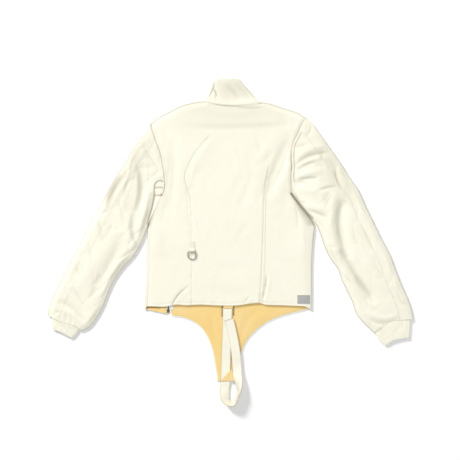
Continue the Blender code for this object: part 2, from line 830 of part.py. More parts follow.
def make_casing(look):
    """The golden flap that holds the webbing down at the tip."""
    corners = [np.array(point, float) for point in CASING_OUTLINE]

    def plan(u, v):
        low = (1 - u) * corners[0] + u * corners[1]
        high = (1 - u) * corners[3] + u * corners[2]
        return (1 - v) * low + v * high

    return flat_piece("strap_casing", plan, lambda spot: CASING_Z, THIN_WALL, 3, 3, look)


# Metal ring


def ring_height():
    """The height of the ring's straight bar, held in its tab."""
    spots = [np.array((RING_X + dx, RING_BAR_Y + dy)) for dx in (-10, 0, 10) for dy in (-22, 0, 28)]
    under = max(back_top(spot) for spot in spots)
    return under + SEAM_GAP + TAB_WALL + TAB_CLEARANCE + RING_WIRE / 2


def make_ring(look):
    """The D-shaped wire, its straight side along X; the object's origin is on that side."""
    reach = (RING_WIDTH - RING_WIRE) / 2
    points = [(-reach + RING_CORNER, 0), (0, 0), (reach - RING_CORNER, 0)]
    arc_centre = RING_DROP - reach
    for i in range(3):
        turn = math.radians(90 - 45 * i)
        points.append((reach - RING_CORNER * (1 - math.cos(turn)), -RING_CORNER * (1 - math.sin(turn))))
    points.append((reach, -arc_centre))
    for i in range(1, RING_ARC_STEPS):
        turn = math.pi * i / RING_ARC_STEPS
        points.append((reach * math.cos(turn), -arc_centre - reach * math.sin(turn)))
    points.append((-reach, -arc_centre))
    for i in range(3):
        turn = math.radians(45 * i)
        points.append((-reach + RING_CORNER * (1 - math.cos(turn)), -RING_CORNER * (1 - math.sin(turn))))
    points = [point for i, point in enumerate(points) if math.dist(point, points[i - 1]) > 0.2]
    curve = bpy.data.curves.new("d_ring", "CURVE")
    curve.dimensions = "3D"
    curve.bevel_depth = RING_WIRE / 2 * MM
    curve.bevel_resolution = 2
    spline = curve.splines.new("POLY")
    spline.points.add(len(points) - 1)
    for spot, (x, y) in zip(spline.points, points):
        spot.co = (x * MM, y * MM, 0.0, 1.0)
    spline.use_cyclic_u = True
    curve.materials.append(look)
    ring = bpy.data.objects.new("d_ring", curve)
    ring.location = (RING_X * MM, RING_BAR_Y * MM, ring_height() * MM)
    ring.rotation_euler.x = math.radians(RING_TILT)
    jacket.objects.link(ring)
    return ring


def make_tab(look):
    """The cloth tab, folded round the ring's bar."""
    bar = ring_height()
    turn_radius = RING_WIRE / 2 + TAB_CLEARANCE + TAB_WALL / 2
    low = bar - turn_radius
    path = [(TAB_TOP_Y, low), (TAB_TOP_Y - TAB_PRESSED, low), (RING_BAR_Y + 4, low)]
    for i in range(TAB_TURN_STEPS + 1):
        turn = math.pi * i / TAB_TURN_STEPS
        path.append((RING_BAR_Y - turn_radius * math.sin(turn), bar - turn_radius * math.cos(turn)))
    over = low + TAB_WALL + SEAM_GAP
    path += [(RING_BAR_Y + 3.5, bar + turn_radius - 1.2), (RING_BAR_Y + 8, over)]
    path += [(TAB_TOP_Y - TAB_PRESSED, over), (TAB_TOP_Y, over)]
    spots = np.array(path)

    def place(column, row):
        ahead, behind = spots[min(column + 1, len(spots) - 1)], spots[max(column - 1, 0)]
        along = (ahead - behind) / np.linalg.norm(ahead - behind)
        out = np.array((along[1], -along[0])) * TAB_WALL / 2
        x = RING_X + (row - 0.5) * TAB_WIDTH
        inner, outer = spots[column] + out, spots[column] - out
        return (x, *inner), (x, *outer)

    return cloth("ring_tab", len(spots) - 1, 1, place, look)


# Zip and label


def zip_strip(name, near, far, low, high, look):
    """A strip along the zip between two distances from its line."""
    spots = [zip_line.at(share) for share in np.linspace(ZIP_START, 1, ZIP_SPOTS)]
    line = Line((np.array((ZIP_LINE[0][0], TAPE_BOTTOM_Y)), *spots))

    def plan(u, v):
        return line.side(v * ZIP_REACH, -(near + u * (far - near)))

    return flat_piece(name, plan, lambda spot: low, high - low, 1, ZIP_ROWS, look)


def block(name, size, centre, look):
    """A small bevelled block."""
    bm = bmesh.new()
    bmesh.ops.create_cube(bm, size=1.0)
    for vert in bm.verts:
        vert.co = [MM * (c + s * v) for c, s, v in zip(centre, size, vert.co)]
    bmesh.ops.bevel(bm, geom=bm.edges[:], offset=0.5 * MM, segments=2, affect="EDGES")
    return finish(name, bm, look)


def make_zip(tape_look, metal_look):
    half = CHAIN_WIDTH / 2
    low = WALL + SEAM_GAP
    high = low + TAPE_WALL
    zip_strip("zip_chain", -half, half, CHAIN_BOTTOM, CHAIN_TOP, metal_look)
    zip_strip("zip_tape_main", half + SEAM_GAP, half + TAPE_WIDTH, low, high, tape_look)
    zip_strip("zip_tape_side", -half - TAPE_WIDTH, -half - SEAM_GAP, low, high, tape_look)
    x = ZIP_LINE[0][0]
    box_y = TAPE_BOTTOM_Y - SEAM_GAP - BOX_SIZE[1] / 2
    block("zip_box", BOX_SIZE, (x, box_y, SEAM_GAP + BOX_SIZE[2] / 2), metal_look)


def make_label(look):
    x0, x1, y0, y1 = LABEL

    def plan(u, v):
        return np.array((x0 + u * (x1 - x0), y0 + v * (y1 - y0)))

    return flat_piece(
        "side_label", plan, lambda spot: back_top(spot) + 2 * SEAM_GAP, LABEL_WALL, 4, 3, look
    )


for leftover in list(bpy.data.objects):
    bpy.data.objects.remove(leftover, do_unlink=True)
jacket = bpy.data.collections.new("fencing_jacket")
bpy.context.scene.collection.children.link(jacket)

cream = material("cream_cotton", (0.80, 0.76, 0.66), 0.85)
golden = material("golden_lining", (0.74, 0.55, 0.24), 0.8)
knit = material("cream_rib_knit", (0.78, 0.74, 0.64), 0.9)
webbing = material("cream_webbing", (0.76, 0.73, 0.64), 0.75)
tape = material("white_zip_tape", (0.85, 0.84, 0.80), 0.8)
dark_metal = material("dark_zip_metal", (0.12, 0.11, 0.11), 0.45, 0.8)
bright_metal = material("bright_ring_metal", (0.62, 0.62, 0.62), 0.3, 1.0)
grey_label = material("grey_label", (0.30, 0.30, 0.31), 0.8)

make_back(cream)
make_fronts(cream)
make_lining(golden)
make_sleeve("left", LEFT_SLEEVE, left_armhole, Line(LEFT_SLEEVE_END), cream)
make_sleeve("right", RIGHT_SLEEVE, right_armhole, Line(RIGHT_SLEEVE_END), cream)
make_cuff("left", LEFT_CUFF, Line(LEFT_CUFF_SEAM), Line(LEFT_CUFF_END), knit)
make_cuff("right", RIGHT_CUFF, Line(RIGHT_CUFF_SEAM), Line(RIGHT_CUFF_END), knit)
make_collar(cream)
make_strap(webbing)
make_anchor(golden)
make_casing(golden)
make_ring(bright_metal)
make_tab(cream)
make_zip(tape, dark_metal)
make_label(grey_label)
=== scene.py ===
"""A fencing jacket laid flat on its front, with its back up: its cloth, seams, knit, webbing and metal.

Tables and sizes are in millimetres, in the jacket's own frame: X across, Y from the hem to the collar,
Z up from the surface. Meshes are in metres.
"""

import logging
import math
from collections.abc import Callable, Sequence
from dataclasses import dataclass
from enum import Enum
from functools import cache

import bpy
import numpy as np
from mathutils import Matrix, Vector


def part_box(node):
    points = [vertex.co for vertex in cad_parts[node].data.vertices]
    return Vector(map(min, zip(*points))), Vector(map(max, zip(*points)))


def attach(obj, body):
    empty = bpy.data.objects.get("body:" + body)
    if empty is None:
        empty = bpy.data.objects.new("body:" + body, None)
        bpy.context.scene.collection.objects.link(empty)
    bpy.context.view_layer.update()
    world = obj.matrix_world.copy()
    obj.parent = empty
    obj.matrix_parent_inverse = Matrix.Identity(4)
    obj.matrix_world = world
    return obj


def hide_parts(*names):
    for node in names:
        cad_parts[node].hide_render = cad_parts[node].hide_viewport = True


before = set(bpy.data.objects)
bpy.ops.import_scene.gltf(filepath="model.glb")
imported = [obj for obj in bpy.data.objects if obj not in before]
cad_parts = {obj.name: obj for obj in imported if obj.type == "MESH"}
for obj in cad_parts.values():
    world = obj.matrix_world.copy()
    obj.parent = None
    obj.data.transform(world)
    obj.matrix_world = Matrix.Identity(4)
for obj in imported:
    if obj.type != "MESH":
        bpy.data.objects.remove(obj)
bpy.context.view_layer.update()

log = logging.getLogger("fencing_jacket")

MM = 0.001
Plan = Callable[[np.ndarray, np.ndarray], np.ndarray]
Row = tuple[float, ...]
Grid = tuple[np.ndarray, np.ndarray]
Colour = tuple[float, float, float]
Socket = bpy.types.NodeSocket
Value = Socket | float | Colour

# Cloth: the wall that a fold turns on, the cloth itself, folds, seams, and the allowance under a seam
WALL = 2.4
CLOTH = 1.5
FOLD_RADIUS = 2.1
LAYER_RISE = 2 * FOLD_RADIUS
SEAM_GAP = 0.3
LAP = 3.0
LAP_DROP = 1.9
LAP_FROM = 5.2
LAP_OVER = 1.2
ZIP_GAP = 3.7
SHARP_TURN = 62.0


def lengths(points: np.ndarray) -> np.ndarray:
    """How far along a line each of its points lies."""
    return np.concatenate([[0.0], np.cumsum(np.linalg.norm(np.diff(points, axis=0), axis=1))])


class Line:
    """A smooth line through points, read by the share of its length."""

    def __init__(self, points: Sequence[Sequence[float]]) -> None:
        """Measures the line.

        Args:
            points: Places on the line, in order.
        """
        self.points = np.array(points, float)
        self.marks = lengths(self.points)
        self.length = float(self.marks[-1])
        self.slopes = np.gradient(self.points, self.marks, axis=0)

    def at(self, share: np.ndarray) -> np.ndarray:
        """The places at shares of the length.

        Args:
            share: Shares from 0 to 1, in an array of any shape.

        Returns:
            The places, with the coordinates on the last axis.
        """
        mark = np.clip(share, 0.0, 1.0) * self.length
        i = np.clip(np.searchsorted(self.marks, mark) - 1, 0, len(self.marks) - 2)
        span = (self.marks[i + 1] - self.marks[i])[..., None]
        t = (mark[..., None] - self.marks[i][..., None]) / span
        return (
            self.points[i] * (2 * t**3 - 3 * t**2 + 1)
            + self.slopes[i] * span * (t**3 - 2 * t**2 + t)
            + self.points[i + 1] * (3 * t**2 - 2 * t**3)
            + self.slopes[i + 1] * span * (t**3 - t**2)
        )

    def side(self, share: np.ndarray, distance: float) -> np.ndarray:
        """The places beside the line, to the left of its direction.

        Args:
            share: Shares of the length.
            distance: How far to the left.

        Returns:
            The places.
        """
        along = self.at(np.minimum(share + 0.005, 1.0)) - self.at(np.maximum(share - 0.005, 0.0))
        along /= np.linalg.norm(along, axis=-1, keepdims=True)
        return self.at(share) + distance * np.stack([-along[..., 1], along[..., 0]], axis=-1)

    def chain(self, count: int) -> np.ndarray:
        """Evenly spaced places along the line."""
        return self.at(np.linspace(0.0, 1.0, count))


class Joined(Line):
    """Lines end to end, each taking a stated share of the whole."""

    def __init__(self, *lines: Line, shares: Sequence[float]) -> None:
        """Keeps the lines.

        Args:
            lines: The lines, in order.
            shares: Where each line after the first begins.
        """
        self.lines = lines
        self.ends = np.concatenate([[0.0], shares, [1.0]])

    def at(self, share: np.ndarray) -> np.ndarray:
        """The places at shares of the whole.

        Args:
            share: Shares from 0 to 1.

        Returns:
            The places.
        """
        share = np.asarray(share, float)
        which = np.clip(np.searchsorted(self.ends, share) - 1, 0, len(self.lines) - 1)
        made = np.zeros(share.shape + (2,))
        for i, line in enumerate(self.lines):
            mask = which == i
            made[mask] = line.at((share[mask] - self.ends[i]) / (self.ends[i + 1] - self.ends[i]))
        return made


@dataclass
class Shifted(Line):
    """A line moved sideways."""

    line: Line
    dx: float
    dy: float = 0.0

    def at(self, share: np.ndarray) -> np.ndarray:
        """The moved places."""
        return self.line.at(share) + np.array((self.dx, self.dy))


class Level(Line):
    """A line read level with its partner, until both rise to their own ends."""

    def __init__(self, line: Line, partner: Line, turn: float, start_drop: float = 0.0) -> None:
        """Samples the line by height.

        Args:
            line: The line to read.
            partner: The line whose heights it takes.
            turn: The share from which the two rise to their own ends.
            start_drop: How far below its partner the line begins.
        """
        self.spots = line.chain(90)
        self.partner = partner
        self.turn = turn
        self.start_drop = start_drop
        self.end_rise = float(self.spots[-1, 1] - partner.at(np.array(1.0))[1])

    def at(self, share: np.ndarray) -> np.ndarray:
        """The places at the partner's heights.

        Args:
            share: Shares from 0 to 1.

        Returns:
            The places.
        """
        share = np.asarray(share, float)
        y = self.partner.at(share)[..., 1]
        y = y + np.maximum(0.0, (share - self.turn) / (1 - self.turn)) * self.end_rise
        y = y - self.start_drop * np.maximum(0.0, 1 - share / START_DROP_REACH)
        return np.stack([np.interp(y, self.spots[:, 1], self.spots[:, 0]), y], axis=-1)


def patch(bottom: Line, top: Line, left: Line, right: Line) -> Plan:
    """The plan of a four-sided panel, whose ends bend its rows less the further in they lie.

    Args:
        bottom: The edge that the rows start from.
        top: The edge that they end at.
        left: The edge at u = 0.
        right: The edge at u = 1.

    Returns:
        A function of the shares u and v that gives places.
    """
    zero, one = np.array(0.0), np.array(1.0)

    def bend(edge: Line, u: np.ndarray) -> np.ndarray:
        """How far an end edge lies off its chord."""
        return edge.at(u) - (1 - u)[..., None] * edge.at(zero) - u[..., None] * edge.at(one)

    def plan(u: np.ndarray, v: np.ndarray) -> np.ndarray:
        """The place at two shares.

        Args:
            u: Shares across.
            v: Shares along.

        Returns:
            The places.
        """
        u, v = np.broadcast_arrays(np.asarray(u, float), np.asarray(v, float))
        along = (1 - u)[..., None] * left.at(v) + u[..., None] * right.at(v)
        near, far = ((1 - v) ** END_BEND)[..., None], (v**END_BEND)[..., None]
        return along + near * bend(bottom, u) + far * bend(top, u)

    return plan


def edge_lines(rows: Sequence[Row]) -> tuple[Line, Line]:
    """The two long edges of a table whose rows hold a point on each."""
    table = np.array(rows, float)
    return Line(table[:, :2]), Line(table[:, 2:])


def soft_step(value: np.ndarray) -> np.ndarray:
    """A smooth rise from 0 to 1."""
    value = np.clip(value, 0.0, 1.0)
    return value * value * (3 - 2 * value)


def with_height(spots: np.ndarray, height: np.ndarray) -> np.ndarray:
    """Places with their heights as a third coordinate."""
    return np.concatenate([spots, height[..., None]], axis=-1)


def share_grid(rows: int, columns: int) -> Grid:
    """The shares down and across a grid."""
    return np.meshgrid(np.linspace(0, 1, rows), np.linspace(0, 1, columns), indexing="ij")


def four_sided(corners: Sequence[Row], v: np.ndarray, u: np.ndarray) -> np.ndarray:
    """Places in a four-sided piece.

    Args:
        corners: Near left, near right, far right and far left.
        v: Shares along it.
        u: Shares across it.

    Returns:
        The places.
    """
    a, b, c, d = (np.array(corner, float) for corner in corners)
    u, v = u[..., None], v[..., None]
    return (1 - v) * ((1 - u) * a + u * b) + v * ((1 - u) * d + u * c)


def band_swell(spot: np.ndarray, near: np.ndarray, far: np.ndarray) -> np.ndarray:
    """A rise from one edge of a band to its middle and down to the other edge.

    Args:
        spot: Places on the band.
        near: Its near edge beside them.
        far: Its far edge.

    Returns:
        From 0 at the edges to 1 in the middle.
    """
    share = np.linalg.norm(spot - near, axis=-1) / np.linalg.norm(far - near, axis=-1)
    return np.sin(np.pi * np.clip(share, 0, 1))


def linked(name: str, data: bpy.types.ID) -> bpy.types.Object:
    """A new object in the scene.

    Args:
        name: Its name.
        data: Its mesh or curve.

    Returns:
        The object.
    """
    made = bpy.data.objects.new(name, data)
    bpy.context.scene.collection.objects.link(made)
    return made


def measure(chain: np.ndarray, places: np.ndarray) -> tuple[np.ndarray, np.ndarray, np.ndarray]:
    """How places lie beside a chain of points.

    Args:
        chain: The points of the chain.
        places: Places, two coordinates each.

    Returns:
        The distance, the share along the chain, and the side, positive to the left.
    """
    best = np.full(len(places), np.inf)
    along = np.zeros(len(places))
    side = np.zeros(len(places))
    for i, (start, end) in enumerate(zip(chain, chain[1:])):
        run = end - start
        offset = places - start
        share = np.clip(offset @ run / (run @ run), 0.0, 1.0)
        gap = np.linalg.norm(offset - share[:, None] * run, axis=1)
        nearer = gap < best
        best = np.where(nearer, gap, best)
        along = np.where(nearer, (i + share) / (len(chain) - 1), along)
        side = np.where(nearer, run[0] * offset[:, 1] - run[1] * offset[:, 0], side)
    return best, along, side


def bent(start: Sequence[float], middle: Sequence[float], end: Sequence[float]) -> np.ndarray:
    """Places along a line bent through its middle point.

    Args:
        start: Its first point.
        middle: The point that it passes half way.
        end: Its last point.

    Returns:
        The places.
    """
    start, middle, end = (np.array(point, float) for point in (start, middle, end))
    bend = 2 * middle - (start + end) / 2
    t = np.linspace(0.0, 1.0, 13)[:, None]
    return start * (1 - t) ** 2 + bend * 2 * t * (1 - t) + end * t**2


class Relief:
    """The folds, seams and unevenness of a stretch of cloth, and the shade painted along them."""

    # How many widths a fold reaches, and how quickly it swells from its ends
    REACH = 2.6
    SWELL = 0.6

    def __init__(self) -> None:
        """Starts with smooth cloth."""
        self.parts: list[tuple[np.ndarray, float, float, float, bool]] = []
        self.puckers: list[tuple[np.ndarray, float, float, float]] = []
        self.shades: list[tuple[np.ndarray, float, float, bool]] = []

    def folds(self, rows: Sequence[tuple]) -> "Relief":
        """Adds listed folds.

        Args:
            rows: Name, three points, widths to the left and right of its direction, and height.

        Returns:
            The relief itself.
        """
        for _, x0, y0, x1, y1, x2, y2, left, right, height in rows:
            self.parts.append((bent((x0, y0), (x1, y1), (x2, y2)), left, right, height, True))
        return self

    def groove(self, chain: np.ndarray, width: float, depth: float, shade: float = 0.0) -> "Relief":
        """Adds a groove of one width along a chain of points.

        Args:
            chain: The points.
            width: How wide it is.
            depth: How deep it is.
            shade: How much painted shade darkens it inside, from 0 to 1.

        Returns:
            The relief itself.
        """
        self.parts.append((chain, width, width, -depth, False))
        if shade > 0:
            self.shades.append((chain, width, shade, False))
        return self

    def painted_shade(self, rows: Sequence[tuple]) -> "Relief":
        """Paints shade softly along folds and lines, where shadow falls on the cloth.

        Args:
            rows: Name, three points, width and darkness.

        Returns:
            The relief itself.
        """
        for _, x0, y0, x1, y1, x2, y2, width, darkness in rows:
            self.shades.append((bent((x0, y0), (x1, y1), (x2, y2)), width, darkness, True))
        return self

    def shade(self, places: np.ndarray) -> np.ndarray:
        """How dark the painted shade of the grooves and folds makes each place.

        Args:
            places: Places in an array of any shape, two coordinates each.

        Returns:
            The darkness, from 0 to 1.
        """
        flat = places.reshape(-1, 2)
        total = np.zeros(len(flat))
        for chain, width, shade, fades in self.shades:
            near = self.close(flat, chain, width)
            if near.any():
                gap, along, _ = measure(chain, flat[near])
                swell = np.sin(np.pi * along) ** self.SWELL if fades else 1.0
                total[near] += shade * swell * np.exp(-((gap / width) ** 2))
        return np.clip(total, 0.0, 1.0).reshape(places.shape[:-1])

    def close(self, flat: np.ndarray, chain: np.ndarray, width: float) -> np.ndarray:
        """Which places a chain of points with a width can reach."""
        reach = self.REACH * width
        return np.all((flat > chain.min(axis=0) - reach) & (flat < chain.max(axis=0) + reach), axis=1)

    def pucker(self, chain: np.ndarray, reach: float, pitch: float, height: float) -> "Relief":
        """Adds the small ripples that stitching draws along a seam, a pitch apart."""
        self.puckers.append((chain, reach, pitch, height))
        return self

    def heights(self, places: np.ndarray) -> np.ndarray:
        """The height that all of it adds.

        Args:
            places: Places in an array of any shape, two coordinates each.

        Returns:
            The heights.
        """
        flat = places.reshape(-1, 2)
        total = np.zeros(len(flat))
        for chain, left, right, height, fades in self.parts:
            near = self.close(flat, chain, max(left, right))
            if near.any():
                gap, along, side = measure(chain, flat[near])
                swell = np.sin(np.pi * along) ** self.SWELL if fades else 1.0
                total[near] += height * swell * np.exp(-((gap / np.where(side > 0, left, right)) ** 2))
        for chain, reach, pitch, height in self.puckers:
            near = self.close(flat, chain, reach)
            if near.any():
                gap, along, _ = measure(chain, flat[near])
                length = np.linalg.norm(np.diff(chain, axis=0), axis=1).sum() * along
                wave = np.sin(2 * np.pi * length / pitch + 1.7 * np.sin(length / (2.3 * pitch)))
                total[near] += height * wave * np.exp(-((gap / reach) ** 2))
        return total.reshape(places.shape[:-1])


def unevenness(places: np.ndarray, height: float) -> np.ndarray:
    """The slow, slight waves of cloth that isn't pressed.

    Args:
        places: Places, two coordinates each.
        height: The height of the highest wave.

    Returns:
        The heights.
    """
    x, y = places[..., 0], places[..., 1]
    waves = (
        np.sin(x / 31 + 0.7 * np.sin(y / 43))
        + np.sin(y / 37 + 0.9 * np.sin(x / 29 + 1.0))
        + 0.7 * np.sin((x + y) / 19 + 1.3 * np.sin((x - y) / 33))
        + 0.4 * np.sin((2 * x - y) / 13 + 2.0)
    )
    return height * waves / 3.1


def crumple(places: np.ndarray, turn: float, depth: float) -> np.ndarray:
    """The fine network of creases in cloth that has been worn.

    Args:
        places: Places, two coordinates each.
        turn: The direction that most creases run in, in degrees.
        depth: The depth of the deepest.

    Returns:
        The heights, all zero or less.
    """
    x, y = places[..., 0], places[..., 1]
    across = x * math.sin(math.radians(turn)) - y * math.cos(math.radians(turn))
    along = x * math.cos(math.radians(turn)) + y * math.sin(math.radians(turn))
    long_lines = (1 - np.abs(np.sin(across / 12 + 1.9 * np.sin(along / 31 + 0.8 * np.sin(across / 17))))) ** 2
    cross_lines = (1 - np.abs(np.sin(along / 21 + 1.6 * np.sin(across / 14 + 2.0)))) ** 3
    patches = soft_step(0.5 + 0.9 * np.sin(x / 41 + 1.0 + np.sin(y / 67)) * np.sin(y / 37 + 2.0))
    return -depth * (0.65 * long_lines + 0.5 * cross_lines) * patches


class Outline:
    """Edges that the cloth turns round, towards which its relief fades."""

    def __init__(self, *lines: Line, softness: float = 16.0) -> None:
        """Keeps the edges, and how far from them the cloth is free."""
        self.chains = [line.chain(60) for line in lines]
        self.softness = softness

    def fade(self, places: np.ndarray) -> np.ndarray:
        """How far inside the edges each place lies.

        Args:
            places: Places, two coordinates each.

        Returns:
            From 0 on an edge to 1 well inside.
        """
        flat = places.reshape(-1, 2)
        gap = np.min([measure(chain, flat)[0] for chain in self.chains], axis=0)
        return soft_step(gap / self.softness).reshape(places.shape[:-1])


# Outlines of the body, from the hem up
START_DROP_REACH = 0.2
END_BEND = 3
HEM_Y = -178.0
FRONT_HEM_Y = -186.0
LEFT_EDGE = (
    (-241, FRONT_HEM_Y), (-237, -133), (-233, -77), (-233, -21), (-232, 13), (-231, 36), (-227, 66),
    (-220, 99), (-214, 122), (-211, 131),
)
RIGHT_EDGE = (
    (226, FRONT_HEM_Y), (227, -133), (227, -77), (229, -21), (231, 7), (233, 26), (235, 40), (232, 53),
    (223, 66), (209, 85), (195, 102), (182, 119), (169, 137),
)
LEFT_ARMHOLE = (
    (-194.5, 131), (-189, 137), (-185.5, 147), (-184, 160), (-184.5, 174), (-186, 192), (-190, 217),
    (-198, 255), (-210, 287), (-220, 317), (-223, 332),
)
LEFT_FRONT_ARMHOLE = (
    (-211, 131), (-203, 133), (-194, 142), (-188, 160), (-190, 217), (-210, 287), (-223, 332),
)
RIGHT_ARMHOLE = (
    (169, 137), (170, 165), (169, 190), (171, 211), (169, 245), (175, 281), (186, 301), (195, 323),
    (210, 349),
)
LEFT_SHOULDER = ((-223, 332), (-200, 350), (-170, 366), (-139, 382), (-105, 391), (-75, 395))
RIGHT_SHOULDER = ((87, 392), (104, 390), (125, 384), (148, 376), (168, 370), (188, 363), (210, 349))
NECK = ((-75, 395), (-52, 388), (-29, 384), (0, 381), (35, 379), (58, 381), (87, 392))
ZIP_LINE = ((-174, FRONT_HEM_Y), (-174, -60), (-174, 35), (-165, 139), (-132, 259), (-76, 393))
BACK_HEM = (
    (-215, -178.6), (-175, -178.0), (-166, -175.6), (-158, -173.8), (-125, -175.0), (-85, -173.4),
    (-55, -174.6), (-24, -176.2), (12, -176.2), (32, -174.0), (46, -171.6), (60, -170.4), (84, -169.8),
    (92, -172.4), (112, -174.4), (139, -175.2), (175, -176.6),
)

# How far the side seams lie in from the edges: height, left, right
SIDE_SEAMS = (
    (FRONT_HEM_Y, 7, 19), (-77, 6, 18), (0, 6, 21), (40, 8, 30), (70, 13, 27), (100, 15, 15), (125, 16, 8),
    (131, 16.5, 6), (137, 17, 5),
)
BODY_SHARE = 13 / 22
NECK_SHARES = (9 / 25, 18 / 25)
FRONT_NECK_SHARE = 8 / 14
SIDE_HEM_DROP = 14.0

# The pointed panel: left x, left y, right x, right y, from the hem to the tip
POINT_EDGES = (
    (-170.3, FRONT_HEM_Y, 226, FRONT_HEM_Y), (-170, -193, 206, -191), (-168, -202, 169, -200),
    (-139, -210, 130, -212), (-109, -221, 99, -227), (-85, -238, 73, -247), (-69, -260, 53, -268),
    (-57, -286, 39, -291), (-49, -315, 29, -318), (-44, -346, 22, -349), (-40, -370, 18, -371),
    (-38, -388, 15, -388),
)

# Lines sewn on the back: two long darts and their second rows
LEFT_DART = ((-60, 298), (-94, 259), (-116, 221), (-128, 181), (-121, 150), (-114, 128))
LEFT_DART_DOWN = ((-112, 132), (-110, 60), (-109, -30), (-109, -110), (-109.5, -177))
LEFT_DART_SECOND = ((-125, 150), (-121, 110), (-118, 60), (-117, 10))
RIGHT_DART = ((107, 210), (97, 160), (92.6, 110), (91.5, 60), (90, 0), (86, -90), (81, -171))
RIGHT_DART_SECOND = ((99, 128), (98.5, 60), (98, 0), (95, -90), (90, -171))

# Each: points, width, depth and painted shade in the groove
DART_SEAMS = (
    (LEFT_DART, 1.6, 0.8, 0.3), (LEFT_DART_DOWN, 1.1, 0.6, 0.22), (LEFT_DART_SECOND, 1.4, 0.4, 0.12),
    (RIGHT_DART, 1.7, 0.9, 0.35), (RIGHT_DART_SECOND, 1.5, 0.6, 0.25),
)

# Folds: name, start x, y, middle x, y, end x, y, width left of its direction, width right, height
BACK_FOLDS = (
    ("left hollow", -166, 292, -168, 180, -190, 40, 20, 12, -2.0),
    ("left hollow side", -148, 300, -147, 190, -160, 60, 20, 10, 1.2),
    ("left flank", -205, 60, -205, 0, -212, -80, 16, 16, 0.8),
    ("blade swell", -40, 290, -92, 236, -104, 160, 22, 8, 1.5),
    ("blade shade", -88, 214, -102, 176, -112, 130, 12, 9, -0.8),
    ("right valley", 170, 300, 142, 215, 98, 120, 9, 16, -2.6),
    ("right valley lip", 186, 292, 160, 200, 116, 100, 16, 16, 1.6),
    ("right valley depth", 118, 196, 104, 162, 97, 118, 5, 9, -1.4),
    ("right soft ridge", 146, 322, 92, 236, 54, 130, 20, 20, 1.3),
    ("right long shade", 124, 259, 98, 232, 74, 208, 8, 12, -1.0),
    ("middle long fold", 84, 236, 54, 170, 18, 96, 14, 20, -1.0),
    ("middle low fold", 54, 52, 36, 34, 16, 20, 9, 12, -0.7),
    ("middle short fold", 42, 190, 22, 160, 4, 118, 12, 14, -0.7),
    ("neck pinch", 74, 284, 80, 268, 86, 252, 4, 6, -0.9),
    ("yoke edge", -150, 326, 20, 321, 172, 334, 6, 12, -0.8),
    ("yoke band", -140, 340, 20, 336, 160, 346, 14, 10, 0.7),
    ("collar drop", -60, 372, 5, 362, 70, 370, 8, 12, 0.7),
    ("right flank crease", 181, 124, 187, 78, 190, 34, 4, 9, -1.1),
    ("right flank swell", 206, 70, 205, 10, 198, -70, 16, 14, 1.0),
    ("right low shade", 150, 90, 160, 30, 175, 0, 18, 18, -0.7),
    ("left hem crease", -118, -120, -150, -151, -165, -179, 2.0, 3, -1.3),
    ("left hem crease lip", -114, -132, -142, -158, -154, -176, 6, 4, 0.4),
    ("right dart pucker", 101, -88, 98, -122, 88, -168, 4, 3, -1.4),
    ("right dart pucker lip", 108, -90, 105, -124, 96, -166, 6, 5, 0.7),
    ("hem kick a", 50, -150, 46, -160, 36, -172, 5, 7, -1.0),
    ("hem kick b", 98, -138, 92, -150, 84, -166, 4, 6, -1.1),
    ("left waist fold", -230, -30, -190, -42, -150, -40, 12, 14, -0.5),
    ("middle waist fold", -60, -60, 0, -72, 60, -64, 14, 16, -0.5),
    ("lower middle shade", -70, -120, 0, -140, 70, -128, 12, 16, -0.6),
    ("right waist fold", 120, -40, 165, -52, 214, -44, 12, 14, -0.5),
    ("left shoulder wave", -190, 322, -178, 300, -176, 268, 8, 10, -0.9),
    ("right shoulder wave", 132, 362, 150, 340, 158, 318, 10, 12, -0.8),
)
# Painted shade along folds, seams and edges, and broad painted shade on the shoulders: name, start x, y,
# middle x, y, end x, y, width, darkness
BACK_PAINTED_SHADE = (
    ("shoulders", -190, 350, 0, 366, 190, 350, 60, 0.16),
    ("neck line", 20, 377.5, 60, 376, 100, 381.5, 2, 0.4),
    ("left hollow", -164, 296, -160, 200, -178, 84, 9, 0.13),
    ("left hollow low", -160, 130, -168, 90, -180, 40, 7, 0.08),
    ("blade", -64, 292, -98, 240, -118, 190, 5, 0.06),
    ("right valley", 158, 290, 120, 220, 96, 104, 7, 0.18),
    ("right valley low", 106, 176, 103, 150, 98, 120, 3, 0.12),
    ("right long shade", 122, 256, 92, 218, 66, 170, 9, 0.09),
    ("middle long fold", 60, 208, 40, 150, 20, 90, 10, 0.07),
    ("left hem crease", -117, -120, -149.5, -151, -166, -184, 1.6, 1.0),
    ("right hem crease", 101, -90, 98, -122, 88, -168, 1.4, 0.5),
    ("right hem fork", 99, -92, 98, -110, 97, -124, 2.0, 0.3),
    ("hem kick", 50, -152, 44, -162, 36, -172, 1.4, 0.25),
    ("yoke edge", -140, 323, 20, 319, 165, 330, 3, 0.05),
    ("right flank crease", 180, 120, 185, 78, 188, 36, 1.6, 0.3),
    ("hem shadow", 44, -170.5, 66, -169, 90, -171.5, 1.6, 0.6),
)
# The back's highest and lowest lie, and its calm stretch under the ring
HIGH = 2.4
SPARE = 1.6
LOW = -0.6
RING_SPOT = (-108.0, -36.0)
RING_CALM = 34.0
RING_HEIGHT = 0.6


@dataclass(frozen=True)
class Cut:
    """The flat size that a piece of cloth is cut to, in metres."""

    width: float
    length: float
    area: float


class Weave(Enum):
    """The build of a cloth."""

    TWILL = "twill"
    PLAIN = "plain"
    KNIT = "knit"
    WEBBING = "webbing"


